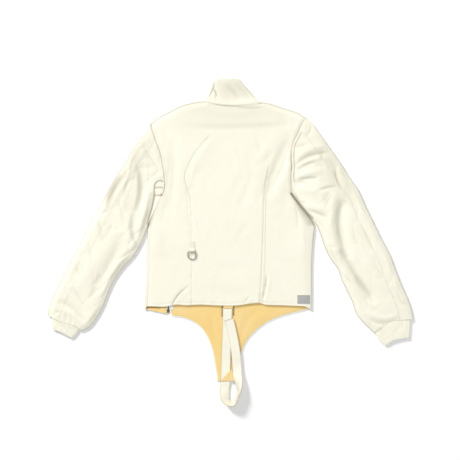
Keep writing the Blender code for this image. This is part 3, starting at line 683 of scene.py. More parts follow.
class Graph:
    """The nodes of one material."""

    def __init__(self, name: str) -> None:
        """Starts a material.

        Args:
            name: Its name.
        """
        self.made = bpy.data.materials.new(name)
        self.made.use_nodes = True
        self.shader = self.made.node_tree.nodes["Principled BSDF"]

    def put(self, socket: Socket, value: Value) -> None:
        """Links a socket to what it reads, or sets what it holds.

        Args:
            socket: The socket.
            value: Another node's output, a number or a colour.
        """
        if isinstance(value, Socket):
            self.made.node_tree.links.new(value, socket)
        else:
            socket.default_value = (*value, 1.0) if isinstance(value, tuple) else value

    def fill(self, node: bpy.types.Node, **inputs: Value) -> None:
        """Sets a node's sockets.

        Args:
            node: The node.
            inputs: What each socket reads or holds, its name written with _ for a space.
        """
        for name, value in inputs.items():
            self.put(node.inputs[name.replace("_", " ")], value)

    def add(self, kind: str, **inputs: Value) -> bpy.types.Node:
        """Adds a node.

        Args:
            kind: Its type.
            inputs: What each socket reads or holds.

        Returns:
            The node.
        """
        node = self.made.node_tree.nodes.new(kind)
        self.fill(node, **inputs)
        return node

    def place(self) -> Socket:
        """The object's own coordinates."""
        return self.add("ShaderNodeTexCoord").outputs["Object"]

    def noise(self, place: Socket, scale: float, detail: float) -> Socket:
        """A noise texture's value."""
        return self.add("ShaderNodeTexNoise", Vector=place, Scale=scale, Detail=detail).outputs["Fac"]

    def ramp(self, value: Socket, low: float, first: Colour, high: float, second: Colour) -> Socket:
        """A colour between two.

        Args:
            value: The value that chooses it.
            low: The value up to which the first colour stays.
            first: The first colour.
            high: The value from which the second colour stays.
            second: The second colour.

        Returns:
            The colour.
        """
        node = self.add("ShaderNodeValToRGB", Fac=value)
        for element, position, colour in zip(node.color_ramp.elements, (low, high), (first, second)):
            element.position = position
            element.color = (*colour, 1.0)
        return node.outputs["Color"]

    def mix(self, factor: Socket, first: Socket, second: Colour, blend: str = "MIX") -> Socket:
        """A colour blended with another.

        Args:
            factor: How much of the second.
            first: The first colour.
            second: The second colour.
            blend: How they blend.

        Returns:
            The colour.
        """
        node = self.add("ShaderNodeMix")
        node.data_type = "RGBA"
        node.blend_type = blend
        self.fill(node, Factor=factor, A=first, B=second)
        return node.outputs["Result"]

    def times(self, value: Socket, amount: float, added: Socket | float = 0.0) -> Socket:
        """A value times an amount, plus another value.

        Args:
            value: The value.
            amount: The amount.
            added: The other value.

        Returns:
            The sum.
        """
        node = self.add("ShaderNodeMath")
        node.operation = "MULTIPLY_ADD"
        for socket, term in zip(node.inputs, (value, amount, added)):
            self.put(socket, term)
        return node.outputs["Value"]


@dataclass(frozen=True)
class Fabric:
    """A cloth finish: its colours, the colour of its painted shade, its threads and how it takes the light.
    """

    name: str
    colour: Colour
    # deep is the colour of the painted shade that the hollow attribute mixes in
    deep: Colour
    worn: Colour
    weave: Weave
    thread: float
    bump: float
    roughness: float
    sheen: float

    def build(self) -> bpy.types.Material:
        """Makes the material.

        Returns:
            A procedural material that reads the piece's own UV map and its hollow attribute, which mixes in
            painted shade.
        """
        graph = Graph(self.name)
        uv = graph.add("ShaderNodeUVMap")
        uv.uv_map = "cloth"
        place = graph.place()
        hollow = graph.add("ShaderNodeAttribute")
        hollow.attribute_name = "hollow"
        tint = graph.ramp(graph.noise(place, 9.0, 4.0), 0.35, self.colour, 0.68, self.worn)
        # Painted shade: the hollow attribute darkens the colour towards deep
        shade = graph.mix(hollow.outputs["Fac"], tint, self.deep)
        threads = self.threads(graph, uv.outputs["UV"])
        # Painted shade in the gaps between the threads
        gap = tuple(0.6 * value + 0.2 for value in self.deep)
        dark = graph.mix(graph.times(threads, 0.10), shade, gap, "MULTIPLY")
        fibres = graph.noise(place, 420.0, 3.0)
        coarse = graph.add("ShaderNodeBump", Strength=0.25, Distance=0.0004, Height=fibres)
        fine = graph.add(
            "ShaderNodeBump", Strength=self.bump, Distance=0.3 * self.thread, Height=threads,
            Normal=coarse.outputs["Normal"],
        )
        fine.invert = True
        graph.fill(
            graph.shader, Roughness=self.roughness, Sheen_Weight=self.sheen, Sheen_Roughness=0.5,
            Base_Color=dark, Normal=fine.outputs["Normal"],
        )
        return graph.made

    def bands(self, graph: Graph, place: Socket, turn: float, pitch: float) -> Socket:
        """Bands across a direction.

        Args:
            graph: The material's nodes.
            place: Where the bands are read.
            turn: The direction, in degrees.
            pitch: How far apart they are, in metres.

        Returns:
            The height of the bands.
        """
        mapping = graph.add("ShaderNodeMapping", Vector=place)
        mapping.inputs["Rotation"].default_value[2] = math.radians(turn)
        return graph.add(
            "ShaderNodeTexWave", Vector=mapping.outputs["Vector"], Scale=2 * math.pi / (20.0 * pitch),
            Distortion=0.4, Detail=0.0,
        ).outputs["Fac"]

    def threads(self, graph: Graph, place: Socket) -> Socket:
        """The gaps between the threads.

        Args:
            graph: The material's nodes.
            place: Where the weave is read.

        Returns:
            1 in a gap and 0 on a thread.
        """
        turns = {
            Weave.TWILL: ((45.0, 1.0), (-20.0, 0.7)),
            Weave.PLAIN: ((0.0, 1.0), (90.0, 1.0)),
            Weave.KNIT: ((0.0, 1.0), (70.0, 0.6)),
            Weave.WEBBING: ((90.0, 1.0), (0.0, 0.5)),
        }[self.weave]
        first, second = (self.bands(graph, place, turn, self.thread * size) for turn, size in turns)
        return graph.times(first, 0.6, graph.times(second, 0.4))


@dataclass(frozen=True)
class Metal:
    """A metal finish with fine scratches and slight wear."""

    name: str
    colour: Colour
    worn: Colour
    roughness: float
    metallic: float

    def build(self) -> bpy.types.Material:
        """Makes the material.

        Returns:
            A procedural material that reads the object's own coordinates.
        """
        graph = Graph(self.name)
        noise = graph.noise(graph.place(), 380.0, 5.0)
        tint = graph.ramp(noise, 0.42, self.colour, 0.7, self.worn)
        gloss = graph.add(
            "ShaderNodeMapRange", Value=noise, To_Min=self.roughness, To_Max=self.roughness + 0.2,
        )
        bump = graph.add("ShaderNodeBump", Strength=0.2, Distance=0.0001, Height=noise)
        graph.fill(
            graph.shader, Metallic=self.metallic, Base_Color=tint, Roughness=gloss.outputs["Result"],
            Normal=bump.outputs["Normal"],
        )
        return graph.made


COTTON = Fabric(
    "cream_cotton", (0.88, 0.856, 0.714), (0.40, 0.362, 0.26), (0.895, 0.87, 0.74),
    Weave.TWILL, thread=0.0009, bump=0.5, roughness=0.82, sheen=0.12,
)
LINING = Fabric(
    "golden_lining", (0.87, 0.62, 0.23), (0.20, 0.12, 0.05), (0.87, 0.65, 0.29),
    Weave.PLAIN, thread=0.0007, bump=0.4, roughness=0.8, sheen=0.1,
)
RIB_KNIT = Fabric(
    "cream_rib_knit", (0.90, 0.885, 0.745), (0.72, 0.68, 0.52), (0.91, 0.895, 0.77),
    Weave.KNIT, thread=0.0011, bump=0.5, roughness=0.9, sheen=0.2,
)
WEBBING = Fabric(
    "cream_webbing", (0.875, 0.85, 0.71), (0.48, 0.42, 0.30), (0.89, 0.87, 0.74),
    Weave.WEBBING, thread=0.0012, bump=0.4, roughness=0.7, sheen=0.1,
)
TAPE = Fabric(
    "white_zip_tape", (0.88, 0.87, 0.83), (0.62, 0.58, 0.50), (0.90, 0.89, 0.86),
    Weave.PLAIN, thread=0.0006, bump=0.5, roughness=0.8, sheen=0.1,
)
LABEL = Fabric(
    "grey_label", (0.36, 0.36, 0.36), (0.16, 0.16, 0.16), (0.44, 0.44, 0.43),
    Weave.PLAIN, thread=0.0005, bump=0.4, roughness=0.7, sheen=0.05,
)
THREAD = Fabric(
    "cream_thread", (0.84, 0.79, 0.66), (0.55, 0.46, 0.30), (0.87, 0.83, 0.70),
    Weave.TWILL, thread=0.0003, bump=0.3, roughness=0.7, sheen=0.1,
)
RING_METAL = Metal("ring_metal", (0.46, 0.46, 0.45), (0.36, 0.35, 0.33), 0.3, 1.0)
ZIP_METAL = Metal("dark_metal", (0.10, 0.095, 0.09), (0.20, 0.19, 0.18), 0.4, 0.8)


@cache
def material(finish: Fabric | Metal) -> bpy.types.Material:
    """The material of a finish, made once."""
    return finish.build()


def shell(
    name: str, outer: np.ndarray, inner: np.ndarray, uv: np.ndarray, hollow: np.ndarray | None = None,
    keep: np.ndarray | None = None,
) -> bpy.types.Object:
    """A closed sheet of cloth between two grids of points.

    Args:
        name: The piece's name.
        outer: The outer points in millimetres, rows by columns by three.
        inner: The inner points.
        uv: Where each point lies on the flat cloth, in millimetres.
        hollow: How much painted shade darkens each point, from 0 to 1.
        keep: Which cells of the grid are cloth; all of them if left out.

    Returns:
        The object, at the origin.
    """
    rows, columns = outer.shape[:2]
    count = rows * columns
    index = np.arange(count).reshape(rows, columns)
    cells = np.ones((rows - 1, columns - 1), bool) if keep is None else keep
    padded = np.pad(cells, 1)
    a, b, c, d = index[:-1, :-1], index[:-1, 1:], index[1:, 1:], index[1:, :-1]
    quads = np.stack([a, b, c, d], axis=-1)[cells]
    faces = [quads, quads[:, ::-1] + count]
    sides = (
        (a, b, padded[:-2, 1:-1]), (b, c, padded[1:-1, 2:]),
        (c, d, padded[2:, 1:-1]), (d, a, padded[1:-1, :-2]),
    )
    for start, end, neighbour in sides:
        rim = cells & ~neighbour
        faces.append(np.stack([end[rim], start[rim], start[rim] + count, end[rim] + count], axis=-1))
    faces = np.concatenate(faces)
    points = np.concatenate([outer.reshape(-1, 3), inner.reshape(-1, 3)]) * MM
    corner = points[faces]
    halves = np.cross(corner[:, 1] - corner[:, 0], corner[:, 2] - corner[:, 0])
    halves += np.cross(corner[:, 2] - corner[:, 0], corner[:, 3] - corner[:, 0])
    if (halves * (corner.mean(axis=1) - points.mean(axis=0))).sum() < 0:
        faces = faces[:, ::-1]
    used, faces = np.unique(faces, return_inverse=True)
    faces = faces.reshape(-1, 4)
    mesh = bpy.data.meshes.new(name)
    mesh.from_pydata(points[used].tolist(), [], faces.tolist())
    flat = np.concatenate([uv.reshape(-1, 2)] * 2)[used] * MM
    layer = mesh.uv_layers.new(name="cloth")
    layer.data.foreach_set("uv", flat[faces.reshape(-1)].ravel())
    # The hollow attribute carries the painted shade to the material
    depth = np.zeros((rows, columns)) if hollow is None else hollow
    shade = mesh.attributes.new("hollow", "FLOAT", "POINT")
    shade.data.foreach_set("value", np.concatenate([depth.ravel()] * 2)[used])
    mesh.shade_smooth()
    mesh.set_sharp_from_angle(angle=math.radians(SHARP_TURN))
    return linked(name, mesh)


def along_grid(points: np.ndarray) -> np.ndarray:
    """The place of each point of a grid on its flat cloth.

    Args:
        points: The grid.

    Returns:
        Two coordinates for each point, from the lengths of its rows and columns.
    """
    across = np.linalg.norm(np.diff(points, axis=1), axis=-1)
    down = np.linalg.norm(np.diff(points, axis=0), axis=-1)
    u = np.concatenate([np.zeros((points.shape[0], 1)), np.cumsum(across, axis=1)], axis=1)
    v = np.concatenate([np.zeros((1, points.shape[1])), np.cumsum(down, axis=0)], axis=0)
    return np.stack([u - u[:, -1:] / 2, v], axis=-1)


def deselect() -> None:
    """Leaves nothing selected."""
    bpy.ops.object.select_all(action="DESELECT")


def pick(piece: bpy.types.Object) -> None:
    """Leaves one object selected and active.

    Args:
        piece: The object.
    """
    deselect()
    piece.select_set(True)
    bpy.context.view_layer.objects.active = piece


def settle(piece: bpy.types.Object) -> None:
    """Puts an object's place, turn and scale into its mesh."""
    pick(piece)
    bpy.ops.object.transform_apply(location=True, rotation=True, scale=True)


def enter(
    piece: bpy.types.Object, finish: Fabric | Metal, nodes: Sequence[str] = (), body: str = "garment"
) -> None:
    """Dresses a piece and says what it rides on and stands for.

    Args:
        piece: The object.
        finish: Its finish.
        nodes: The CAD nodes that it replaces.
        body: The body that it moves with.
    """
    piece.data.materials.clear()
    piece.data.materials.append(material(finish))
    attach(piece, body)
    if nodes:
        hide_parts(*nodes)
    log.info("%s: %d points", piece.name, len(piece.data.vertices))


def lay(
    piece: bpy.types.Object, finish: Fabric, nodes: Sequence[str]
) -> None:
    """Enters a piece as a sheet of cloth laid flat."""
    enter(piece, finish, nodes)


@dataclass
class Tube:
    """A flattened tube of cloth: under, round the far edge, over, and round the near edge.

    Its plan gives places by two shares, across and along. Its relief gives how far its upper side
    stands above its lowest lie, by place and share along. Its folds are turned on its wall.

    A place round it is a number: 0 to 1 is the under side from the near edge to the far one, 1 to 2
    the far fold, 2 to 3 the upper side back to the near edge, 3 to 4 the near fold, 4 to 5 the under
    side again.
    """

    plan: Plan
    relief: Plan
    wall: float = WALL

    def width(self, v: np.ndarray) -> np.ndarray:
        """The width at shares along."""
        return np.linalg.norm(self.plan(np.ones_like(v), v) - self.plan(np.zeros_like(v), v), axis=-1)

    def grid(self, turn: np.ndarray, v: np.ndarray, raised: np.ndarray | float = 0.0) -> Grid:
        """The outer and inner points at places round and along the tube.

        Args:
            turn: Places round the tube.
            v: Shares along it, in an array of the same shape.
            raised: How far the outer points stand out of the wall.

        Returns:
            The outer points and the inner points.
        """
        lap = np.minimum(np.floor(turn), 4).astype(int)
        share = turn - lap
        inset = (FOLD_RADIUS + self.wall / 2) / self.width(v)
        span = self.plan(np.ones_like(v), v) - self.plan(np.zeros_like(v), v)
        direction = span / np.linalg.norm(span, axis=-1, keepdims=True)
        under, over, far = (lap == 0) | (lap == 4), lap == 2, lap == 1
        crossed = inset + share * (1 - 2 * inset)
        spot = self.plan(np.select([under, over, far], [crossed, 1 - crossed, 1 - inset], inset), v)
        relief = self.relief(spot, v)
        half = self.wall / 2
        turned = np.pi * np.where(far, share, 1 - share)
        rise = LAYER_RISE + relief
        z = half + np.select(
            [under, over], [np.maximum(0.0, relief - 2.0), rise], rise * (1 - np.cos(turned)) / 2
        )
        up = np.select([under, over], [-1.0, 1.0], -np.cos(turned))
        sideways = np.select([under | over, far], [0.0, np.sin(turned)], -np.sin(turned))
        outward = sideways[..., None] * direction
        middle = with_height(spot + outward * FOLD_RADIUS, z)
        out = with_height(outward, up)
        outer = middle + out * (half + raised if np.isscalar(raised) else (half + raised)[..., None])
        return outer, middle + out * (half - CLOTH)


def turns(*stops: tuple[np.ndarray, int]) -> np.ndarray:
    """Places round a tube for a grid, from stops that differ along it.

    Args:
        stops: The place round the tube for each row, and the number of columns to the next stop.

    Returns:
        Rows by columns of places.
    """
    parts = []
    for (start, count), (end, _) in zip(stops, stops[1:]):
        steps = np.arange(count) / count
        parts.append(start[:, None] + (end - start)[:, None] * steps)
    parts.append(stops[-1][0][:, None])
    return np.concatenate(parts, axis=1)


def tucked(outer: np.ndarray, inner: np.ndarray, first: int, step: int) -> Grid:
    """Adds a row of seam allowance that dips under the neighbouring piece.

    Args:
        outer: The outer grid.
        inner: The inner grid.
        first: The row to extend, 0 or -1.
        step: The direction to the next row inwards, 1 or -1.

    Returns:
        Both grids, one row longer.
    """
    away = outer[first] - outer[first + step]
    away[:, 2] = 0.0
    away /= np.maximum(np.linalg.norm(away, axis=1, keepdims=True), 1e-6)
    share = np.clip((outer[first][:, 2] - LAP_FROM) / LAP_OVER, 0.0, 1.0)
    move = away * LAP * share[:, None]
    move[:, 2] = -LAP_DROP * share
    grids = []
    for grid in (outer, inner):
        row = (grid[first] + move)[None]
        grids.append(np.concatenate([row, grid] if first == 0 else [grid, row]))
    return grids[0], grids[1]


def hollows(heights: np.ndarray, depth: float) -> np.ndarray:
    """How much each place of a grid lies lower than its surroundings.

    Args:
        heights: The heights of the grid.
        depth: The depth that counts as full.

    Returns:
        The depth, from 0 to 1.
    """
    smooth = heights.copy()
    for _ in range(14):
        ring = np.pad(smooth, 1, mode="edge")
        smooth = (ring[:-2, 1:-1] + ring[2:, 1:-1] + ring[1:-1, :-2] + ring[1:-1, 2:] + smooth) / 5
    return 0.4 * np.clip((smooth - heights) / depth, 0.0, 1.0) ** 1.2


class Stitcher:
    """Sews rows of short stitches, copied from one."""

    PITCH = 3.2
    LENGTH = 2.7
    THICK = 0.45
    PROUD = 0.1

    def __init__(self) -> None:
        """Models one stitch."""
        deselect()
        bpy.ops.mesh.primitive_uv_sphere_add(segments=6, ring_count=4, radius=0.5)
        model = bpy.context.object
        model.scale = (self.LENGTH, self.THICK, self.THICK)
        settle(model)
        self.points = np.array([vert.co[:] for vert in model.data.vertices])
        self.faces = [tuple(face.vertices) for face in model.data.polygons]
        bpy.data.objects.remove(model, do_unlink=True)
        self.rows: list[np.ndarray] = []

    def row(self, line: np.ndarray) -> None:
        """Adds a row of stitches along places on the cloth's outer face, in millimetres."""
        self.rows.append(line)

    def sew(self, name: str) -> bpy.types.Object:
        """Makes one mesh of all the rows since the last.

        Args:
            name: The piece's name.

        Returns:
            The object.
        """
        points, faces = [], []
        for line in self.rows:
            marks = lengths(line)
            for mark in np.arange(self.PITCH / 2, marks[-1] - self.PITCH / 2, self.PITCH):
                ends = [mark - self.PITCH / 3, mark, mark + self.PITCH / 3]
                behind, spot, ahead = (
                    np.array([np.interp(end, marks, line[:, i]) for i in range(3)]) for end in ends
                )
                along = (ahead - behind) / np.linalg.norm(ahead - behind)
                aside = np.array((-along[1], along[0], 0.0))
                aside /= np.linalg.norm(aside)
                up = np.cross(along, aside)
                first = sum(len(part) for part in points)
                points.append(spot + self.points @ np.stack([along, aside, up]))
                faces += [tuple(first + i for i in face) for face in self.faces]
        self.rows = []
        mesh = bpy.data.meshes.new(name)
        mesh.from_pydata((np.concatenate(points) * MM).tolist(), [], faces)
        mesh.uv_layers.new(name="cloth")
        mesh.shade_smooth()
        return linked(name, mesh)


@dataclass
class BackSide(Line):
    """A long edge of the back: in from the body's folded edge to the side seam, then up the armhole.

    Its hand is -1 for the left edge and 1 for the right.
    """

    body: "Body"
    edge: Line
    armhole: Line
    hand: int

    def at(self, share: np.ndarray) -> np.ndarray:
        """The places at shares of the edge.

        Args:
            share: Shares from 0 to 1.

        Returns:
            The places.
        """
        share = np.asarray(share, float)
        spot = Joined(self.edge, self.armhole, shares=[BODY_SHARE]).at(share)
        y = spot[..., 1] + (HEM_Y - FRONT_HEM_Y) * np.maximum(0.0, 1 - share / START_DROP_REACH)
        edge_x, edge_y = self.edge.points.T
        x = spot[..., 0] + np.interp(y, edge_y, edge_x) - np.interp(spot[..., 1], edge_y, edge_x)
        above = share > BODY_SHARE + 1e-6
        inset = SEAM_GAP * 0.5 + np.where(above, 0.0, self.body.seam_inset(y, self.hand))
        return np.stack([x - self.hand * inset, y], axis=-1)


class Body:
    """The back, the two fronts and the golden lining of the point."""

    def __init__(self) -> None:
        """Lays out the lines of the body and its relief."""
        self.left_edge, self.right_edge = Line(LEFT_EDGE), Line(RIGHT_EDGE)
        self.left_armhole, self.right_armhole = Line(LEFT_ARMHOLE), Line(RIGHT_ARMHOLE)
        self.left_shoulder, self.right_shoulder = Line(LEFT_SHOULDER), Line(RIGHT_SHOULDER)
        self.neck = Line(NECK)
        self.outline = Outline(self.left_edge, self.right_edge, self.left_shoulder, self.right_shoulder)
        self.shoulders = Outline(self.left_shoulder, self.right_shoulder)
        hem = Line(BACK_HEM)
        self.relief = Relief().folds(BACK_FOLDS).painted_shade(BACK_PAINTED_SHADE)
        # The grooves of the seams and the hem are darkened with painted shade, and the shoulder edges get a
        # painted dark rim
        for points, width, depth, shade in DART_SEAMS:
            self.relief.groove(Line(points).chain(40), width, depth, shade)
            self.relief.pucker(Line(points).chain(40), 9.0, 23.0, 0.12)
        for rim, shade in ((self.left_shoulder, 0.8), (self.right_shoulder, 0.7)):
            self.relief.groove(rim.chain(40), 2.4, 0.0, shade)
        self.relief.groove(hem.chain(60) + np.array((0.0, 7.0)), 1.3, 0.4, 0.12)
        self.relief.pucker(hem.chain(60) + np.array((0.0, 5.0)), 10.0, 31.0, 0.25)
        for armhole, second in ((self.left_armhole, 0.15), (self.right_armhole, 0.2)):
            self.relief.pucker(armhole.chain(40), 14.0, 37.0, 0.25)
            self.relief.groove(armhole.chain(50), 2.0, 1.1, 0.5)
            side = 6.0 if armhole is self.left_armhole else -6.0
            self.relief.groove(armhole.side(np.linspace(0, 1, 40), -side), 1.3, 0.25, second)

    def height(self, places: np.ndarray) -> np.ndarray:
        """How far the back stands above its lowest lie.

        Args:
            places: Places, two coordinates each.

        Returns:
            The heights.
        """
        height = 1.0 + self.relief.heights(places) + unevenness(places, 0.35) + crumple(places, 80.0, 0.25)
        bounded = HIGH + SPARE * np.tanh((height - HIGH) / SPARE)
        height = np.where(height > HIGH, bounded, np.maximum(height, LOW))
        calm = np.exp(-((np.linalg.norm(places - np.array(RING_SPOT), axis=-1) / RING_CALM) ** 4))
        height = height + calm * (np.minimum(height, RING_HEIGHT) - height)
        return self.outline.fade(places) * height

    def top(self, places: np.ndarray) -> np.ndarray:
        """The height of the back's outer face."""
        rise = WALL + SEAM_GAP
        return WALL + rise + (LAYER_RISE - rise) * self.shoulders.fade(places) + self.height(places)

    def seam_inset(self, y: np.ndarray, side: int) -> np.ndarray:
        """How far in from the edge a side seam lies, at heights on the body."""
        heights, left, right = zip(*SIDE_SEAMS)
        return np.interp(y, heights, left if side < 0 else right)

    def back_side(self, side: int) -> Line:
        """A long edge of the back from the hem up, the left one for -1 and the right one for 1."""
        lines = (self.left_edge, self.left_armhole) if side < 0 else (self.right_edge, self.right_armhole)
        return BackSide(self, *lines, side)

    def make_back(self) -> None:
        """The back, one piece with two long darts."""
        left, right = self.back_side(-1), self.back_side(1)
        zero = np.array(0.0)
        hem = Line((left.at(zero), *BACK_HEM, right.at(zero)))
        top = Joined(self.left_shoulder, Shifted(self.neck, 0, -0.4), self.right_shoulder, shares=NECK_SHARES)
        v, u = share_grid(205, 225)
        spots = patch(hem, top, left, right)(u, v)
        outer_z = self.top(spots)
        outer = with_height(spots, outer_z)
        inner = outer - np.array((0.0, 0.0, CLOTH))
        # Painted shade: darker in low places, along the grooves and along the painted fold shade
        depth = np.maximum(hollows(outer_z, 1.3), self.relief.shade(spots))
        piece = shell("back_panel", outer, inner, spots, depth)
        lay(piece, COTTON, ["back"])

    def wrapped(self, side: int, plan: Plan, v: np.ndarray, columns: int) -> Grid:
        """The under side of a front, its turned edge and its seam with the back.

        Args:
            side: -1 for the left edge, 1 for the right.
            plan: Places by two shares; the folded edge is at u = 1 on the right and 0 on the left.
            v: Shares up the piece.
            columns: How many columns the flat part takes.

        Returns:
            The outer and inner grids, from the flat part's far edge to the seam.
        """
        edge_u = 1.0 if side > 0 else 0.0
        width = np.linalg.norm(plan(np.ones_like(v), v) - plan(np.zeros_like(v), v), axis=-1)
        inset = (FOLD_RADIUS + WALL / 2) / width
        folded = v < BODY_SHARE
        inset = np.where(folded & (v > -1e-6), inset, SEAM_GAP / width)
        outers, inners = [], []
        for share in np.linspace(0, 1, columns):
            u = share * (1 - inset) if side > 0 else 1 - share * (1 - inset)
            spot = plan(u, v)
            outers.append(with_height(spot, np.zeros(len(v))))
            inners.append(outers[-1] + np.array((0.0, 0.0, CLOTH)))
        base = plan(np.abs(edge_u - inset), v)
        rise = np.maximum(self.top(base) - WALL, LAYER_RISE)
        for share in np.linspace(0, 1, 9)[1:]:
            turned = np.pi * share
            out = np.stack([np.full(len(v), side * math.sin(turned)), np.zeros(len(v)),
                            np.full(len(v), -math.cos(turned))], axis=-1)
            z = WALL / 2 + rise * (1 - math.cos(turned)) / 2
            middle = with_height(base, z)
            middle = middle + out * np.array((FOLD_RADIUS, FOLD_RADIUS, 0.0))
            outers.append(middle + out * WALL / 2)
            inners.append(middle + out * (WALL / 2 - CLOTH))
        edge = plan(np.full_like(v, edge_u), v)
        lift = (HEM_Y - FRONT_HEM_Y) * np.maximum(0.0, 1 - np.maximum(v, 0.0) / START_DROP_REACH)
        seam = edge - np.stack([side * self.seam_inset(edge[:, 1], side), -lift], axis=-1)
        top = self.top(seam)
        outers.append(with_height(seam, top))
        inners.append(outers[-1] - np.array((0.0, 0.0, CLOTH)))
        return np.stack(outers, axis=1), np.stack(inners, axis=1)

    def make_fronts(self) -> None:
        """The two front pieces, which turn round the side edges to the side seams."""
        zip_line = Line(ZIP_LINE)
        right = Joined(self.right_edge, self.right_armhole, shares=[BODY_SHARE])
        left = Joined(self.left_edge, Line(LEFT_FRONT_ARMHOLE), shares=[BODY_SHARE])
        top = Joined(Shifted(self.neck, ZIP_GAP, -0.4), self.right_shoulder, shares=[FRONT_NECK_SHARE])
        zip_side = Level(Shifted(zip_line, ZIP_GAP), right, BODY_SHARE)
        zero = np.array(0.0)
        body_plan = patch(Line((zip_side.at(zero), right.at(zero))), top, zip_side, right)
        point_left, point_right = edge_lines(POINT_EDGES)

        def main_plan(u: np.ndarray, v: np.ndarray) -> np.ndarray:
            """The body above the hem line and the point below it.

            Args:
                u: Shares across.
                v: Shares up the body, or below 0 down the point.

            Returns:
                The places.
            """
            u, v = np.broadcast_arrays(np.asarray(u, float), np.asarray(v, float))
            point = (1 - u)[..., None] * point_left.at(-v) + u[..., None] * point_right.at(-v)
            return np.where((v >= 0)[..., None], body_plan(u, np.maximum(v, 0.0)), point)

        v = np.concatenate([np.linspace(-1, 0, 76)[:-1], np.linspace(0, 1, 120)])
        columns = 56
        outer, inner = self.wrapped(1, main_plan, v, columns)
        keep = np.ones((len(v) - 1, outer.shape[1] - 1), bool)
        middle = (v[:-1] + v[1:]) / 2
        keep[(middle < 0) | (middle > BODY_SHARE), columns - 1:] = False
        # Painted shade: a dark rim along the turned edge, and painted shadow in the gap under the right
        # sleeve
        rim = Relief().groove(self.right_edge.chain(60), 2.2, 0.0, 0.35)
        shade = rim.groove(Line(RIGHT_GAP_SHADE).chain(20), 4.2, 0.0, 1.0).shade(outer[..., :2])
        piece = shell("main_front_panel", outer, inner, outer[..., :2], shade, keep)
        lay(piece, COTTON, ["front_main"])

        side_zip = Level(Shifted(zip_line, -ZIP_GAP), left, BODY_SHARE, SIDE_HEM_DROP)
        hem = Line((left.at(zero), (-210, -191), side_zip.at(zero)))
        side_plan = patch(hem, self.left_shoulder, left, side_zip)
        v = np.linspace(0, 1, 120)
        outer, inner = self.wrapped(-1, side_plan, v, 14)
        keep = np.ones((len(v) - 1, outer.shape[1] - 1), bool)
        keep[(v[:-1] + v[1:]) / 2 > BODY_SHARE, 13:] = False
        # Painted shade: a dark rim along the turned edge, and painted shadow in the gap under the left sleeve
        rim = Relief().groove(self.left_edge.chain(60), 2.4, 0.0, 0.5)
        shade = rim.groove(Line(LEFT_GAP_SHADE).chain(20), 4.4, 0.0, 1.0).shade(outer[..., :2])
        piece = shell("left_front_panel", outer, inner, outer[..., :2], shade, keep)
        lay(piece, COTTON, ["front_side_left"])

    def make_lining(self) -> None:
        """The golden lining of the pointed panel, a little inside its edge."""
        table = np.array(POINT_EDGES, float)
        left, right = Line(table[::-1, :2]), Line(table[::-1, 2:])
        inset = 3.6
        v = np.linspace(0, 1, 120)
        hem_share = 0.9
        first = 0.4 / left.length
        share = first + (1 - first) * np.minimum(v / hem_share, 1.0)
        near, far = left.side(share, -inset), right.side(share, inset)
        near[:, 0] = np.maximum(near[:, 0], np.where(near[:, 1] < FRONT_HEM_Y - 3.5, -169.0, -159.0))
        far[:, 0] = np.minimum(far[:, 0], table[0, 2] - 5.0)
        lift = np.maximum(0.0, (v - hem_share) / (1 - hem_share)) * 38.0
        near[:, 1] += lift
        far[:, 1] += lift
        u = np.linspace(0, 1, 200)[None, :, None]
        spots = (1 - u) * near[:, None] + u * far[:, None]
        relief = Relief().folds(LINING_FOLDS)
        # The pleats are grooves darkened with painted shadow
        for pleat in LINING_PLEATS:
            relief.groove(Line(pleat).chain(12), 1.8, 0.4, 1.0)
        rim = Line(table[:, :2]).chain(40), Line(table[:, 2:]).chain(40)
        edges = Outline(Line(rim[0]), Line(rim[1]), softness=14.0)
        waves = np.maximum(relief.heights(spots), -0.4) + unevenness(spots, 0.18)
        height = WALL - 0.1 + edges.fade(spots) * (0.5 + waves)
        outer = with_height(spots, height)
        inner = outer - np.array((0.0, 0.0, 0.7))
        # Painted shade in low places and in the pleats
        depth = np.maximum(hollows(height, 0.8), relief.shade(spots))
        piece = shell("golden_point_lining", outer, inner, spots, depth)
        lay(piece, LINING, ["point_lining"])

    def make_side_lining(self) -> None:
        """The lining of the left front, which shows under the back's hem."""
        v, u = share_grid(24, 40)
        spots = four_sided(SIDE_LINING, v, u)
        spots[..., 1] -= 1.6 * np.sin(np.pi * u) * (1 - v)
        height = WALL + 0.75 + 0.15 * np.sin(spots[..., 0] / 6) + 1.2 * soft_step((spots[..., 0] + 200) / 8)
        outer = with_height(spots, height)
        # Painted shadow along the top, under the back's hem
        shade = Relief().groove(Line(SIDE_LINING_SHADE).chain(12), 1.8, 0.0, 1.0).shade(spots)
        piece = shell("golden_side_lining", outer, outer - np.array((0.0, 0.0, 0.6)), spots, shade)
        lay(piece, LINING, [])

    def sew(self, stitcher: Stitcher) -> None:
        """The rows of stitches on the back and along its hem.

        Args:
            stitcher: Sews them.
        """
        rows = [Line(points).chain(160) + np.array((shift, 0.0)) for points, shift in (
            (LEFT_DART_DOWN, -5.0), (RIGHT_DART, 5.5), (RIGHT_DART_SECOND, 3.5))]
        rows.append(Line(BACK_HEM).chain(200) + np.array((0.0, 7.0)))
        rows.append(self.left_armhole.side(np.linspace(0.02, 0.98, 120), -6.0))
        rows.append(self.right_armhole.side(np.linspace(0.02, 0.98, 120), 6.0))
        for row in rows:
            stitcher.row(with_height(row, self.top(row) + 0.02))


SIDE_LINING = ((-237.0, -185.4), (-178.9, -198.0), (-178.9, -150.0), (-229.0, -150.0))
SIDE_LINING_SHADE = ((-242, -182.5), (-210, -180.5), (-178, -179.5))
LINING_PLEATS = (((-23.2, -179), (-23.6, -206)), ((8.6, -179), (9.2, -204)))
LINING_FOLDS = (
    ("left drag", -60, -200, -50, -240, -42, -300, 6, 8, -0.5),
    ("left swell", -110, -192, -80, -210, -56, -250, 10, 10, 0.5),
    ("right drag", 70, -196, 44, -224, 26, -280, 8, 6, -0.5),
    ("right swell", 110, -196, 80, -210, 50, -236, 10, 10, 0.5),
    ("middle shade", 40, -190, 26, -220, 22, -260, 6, 6, 0.4),
)


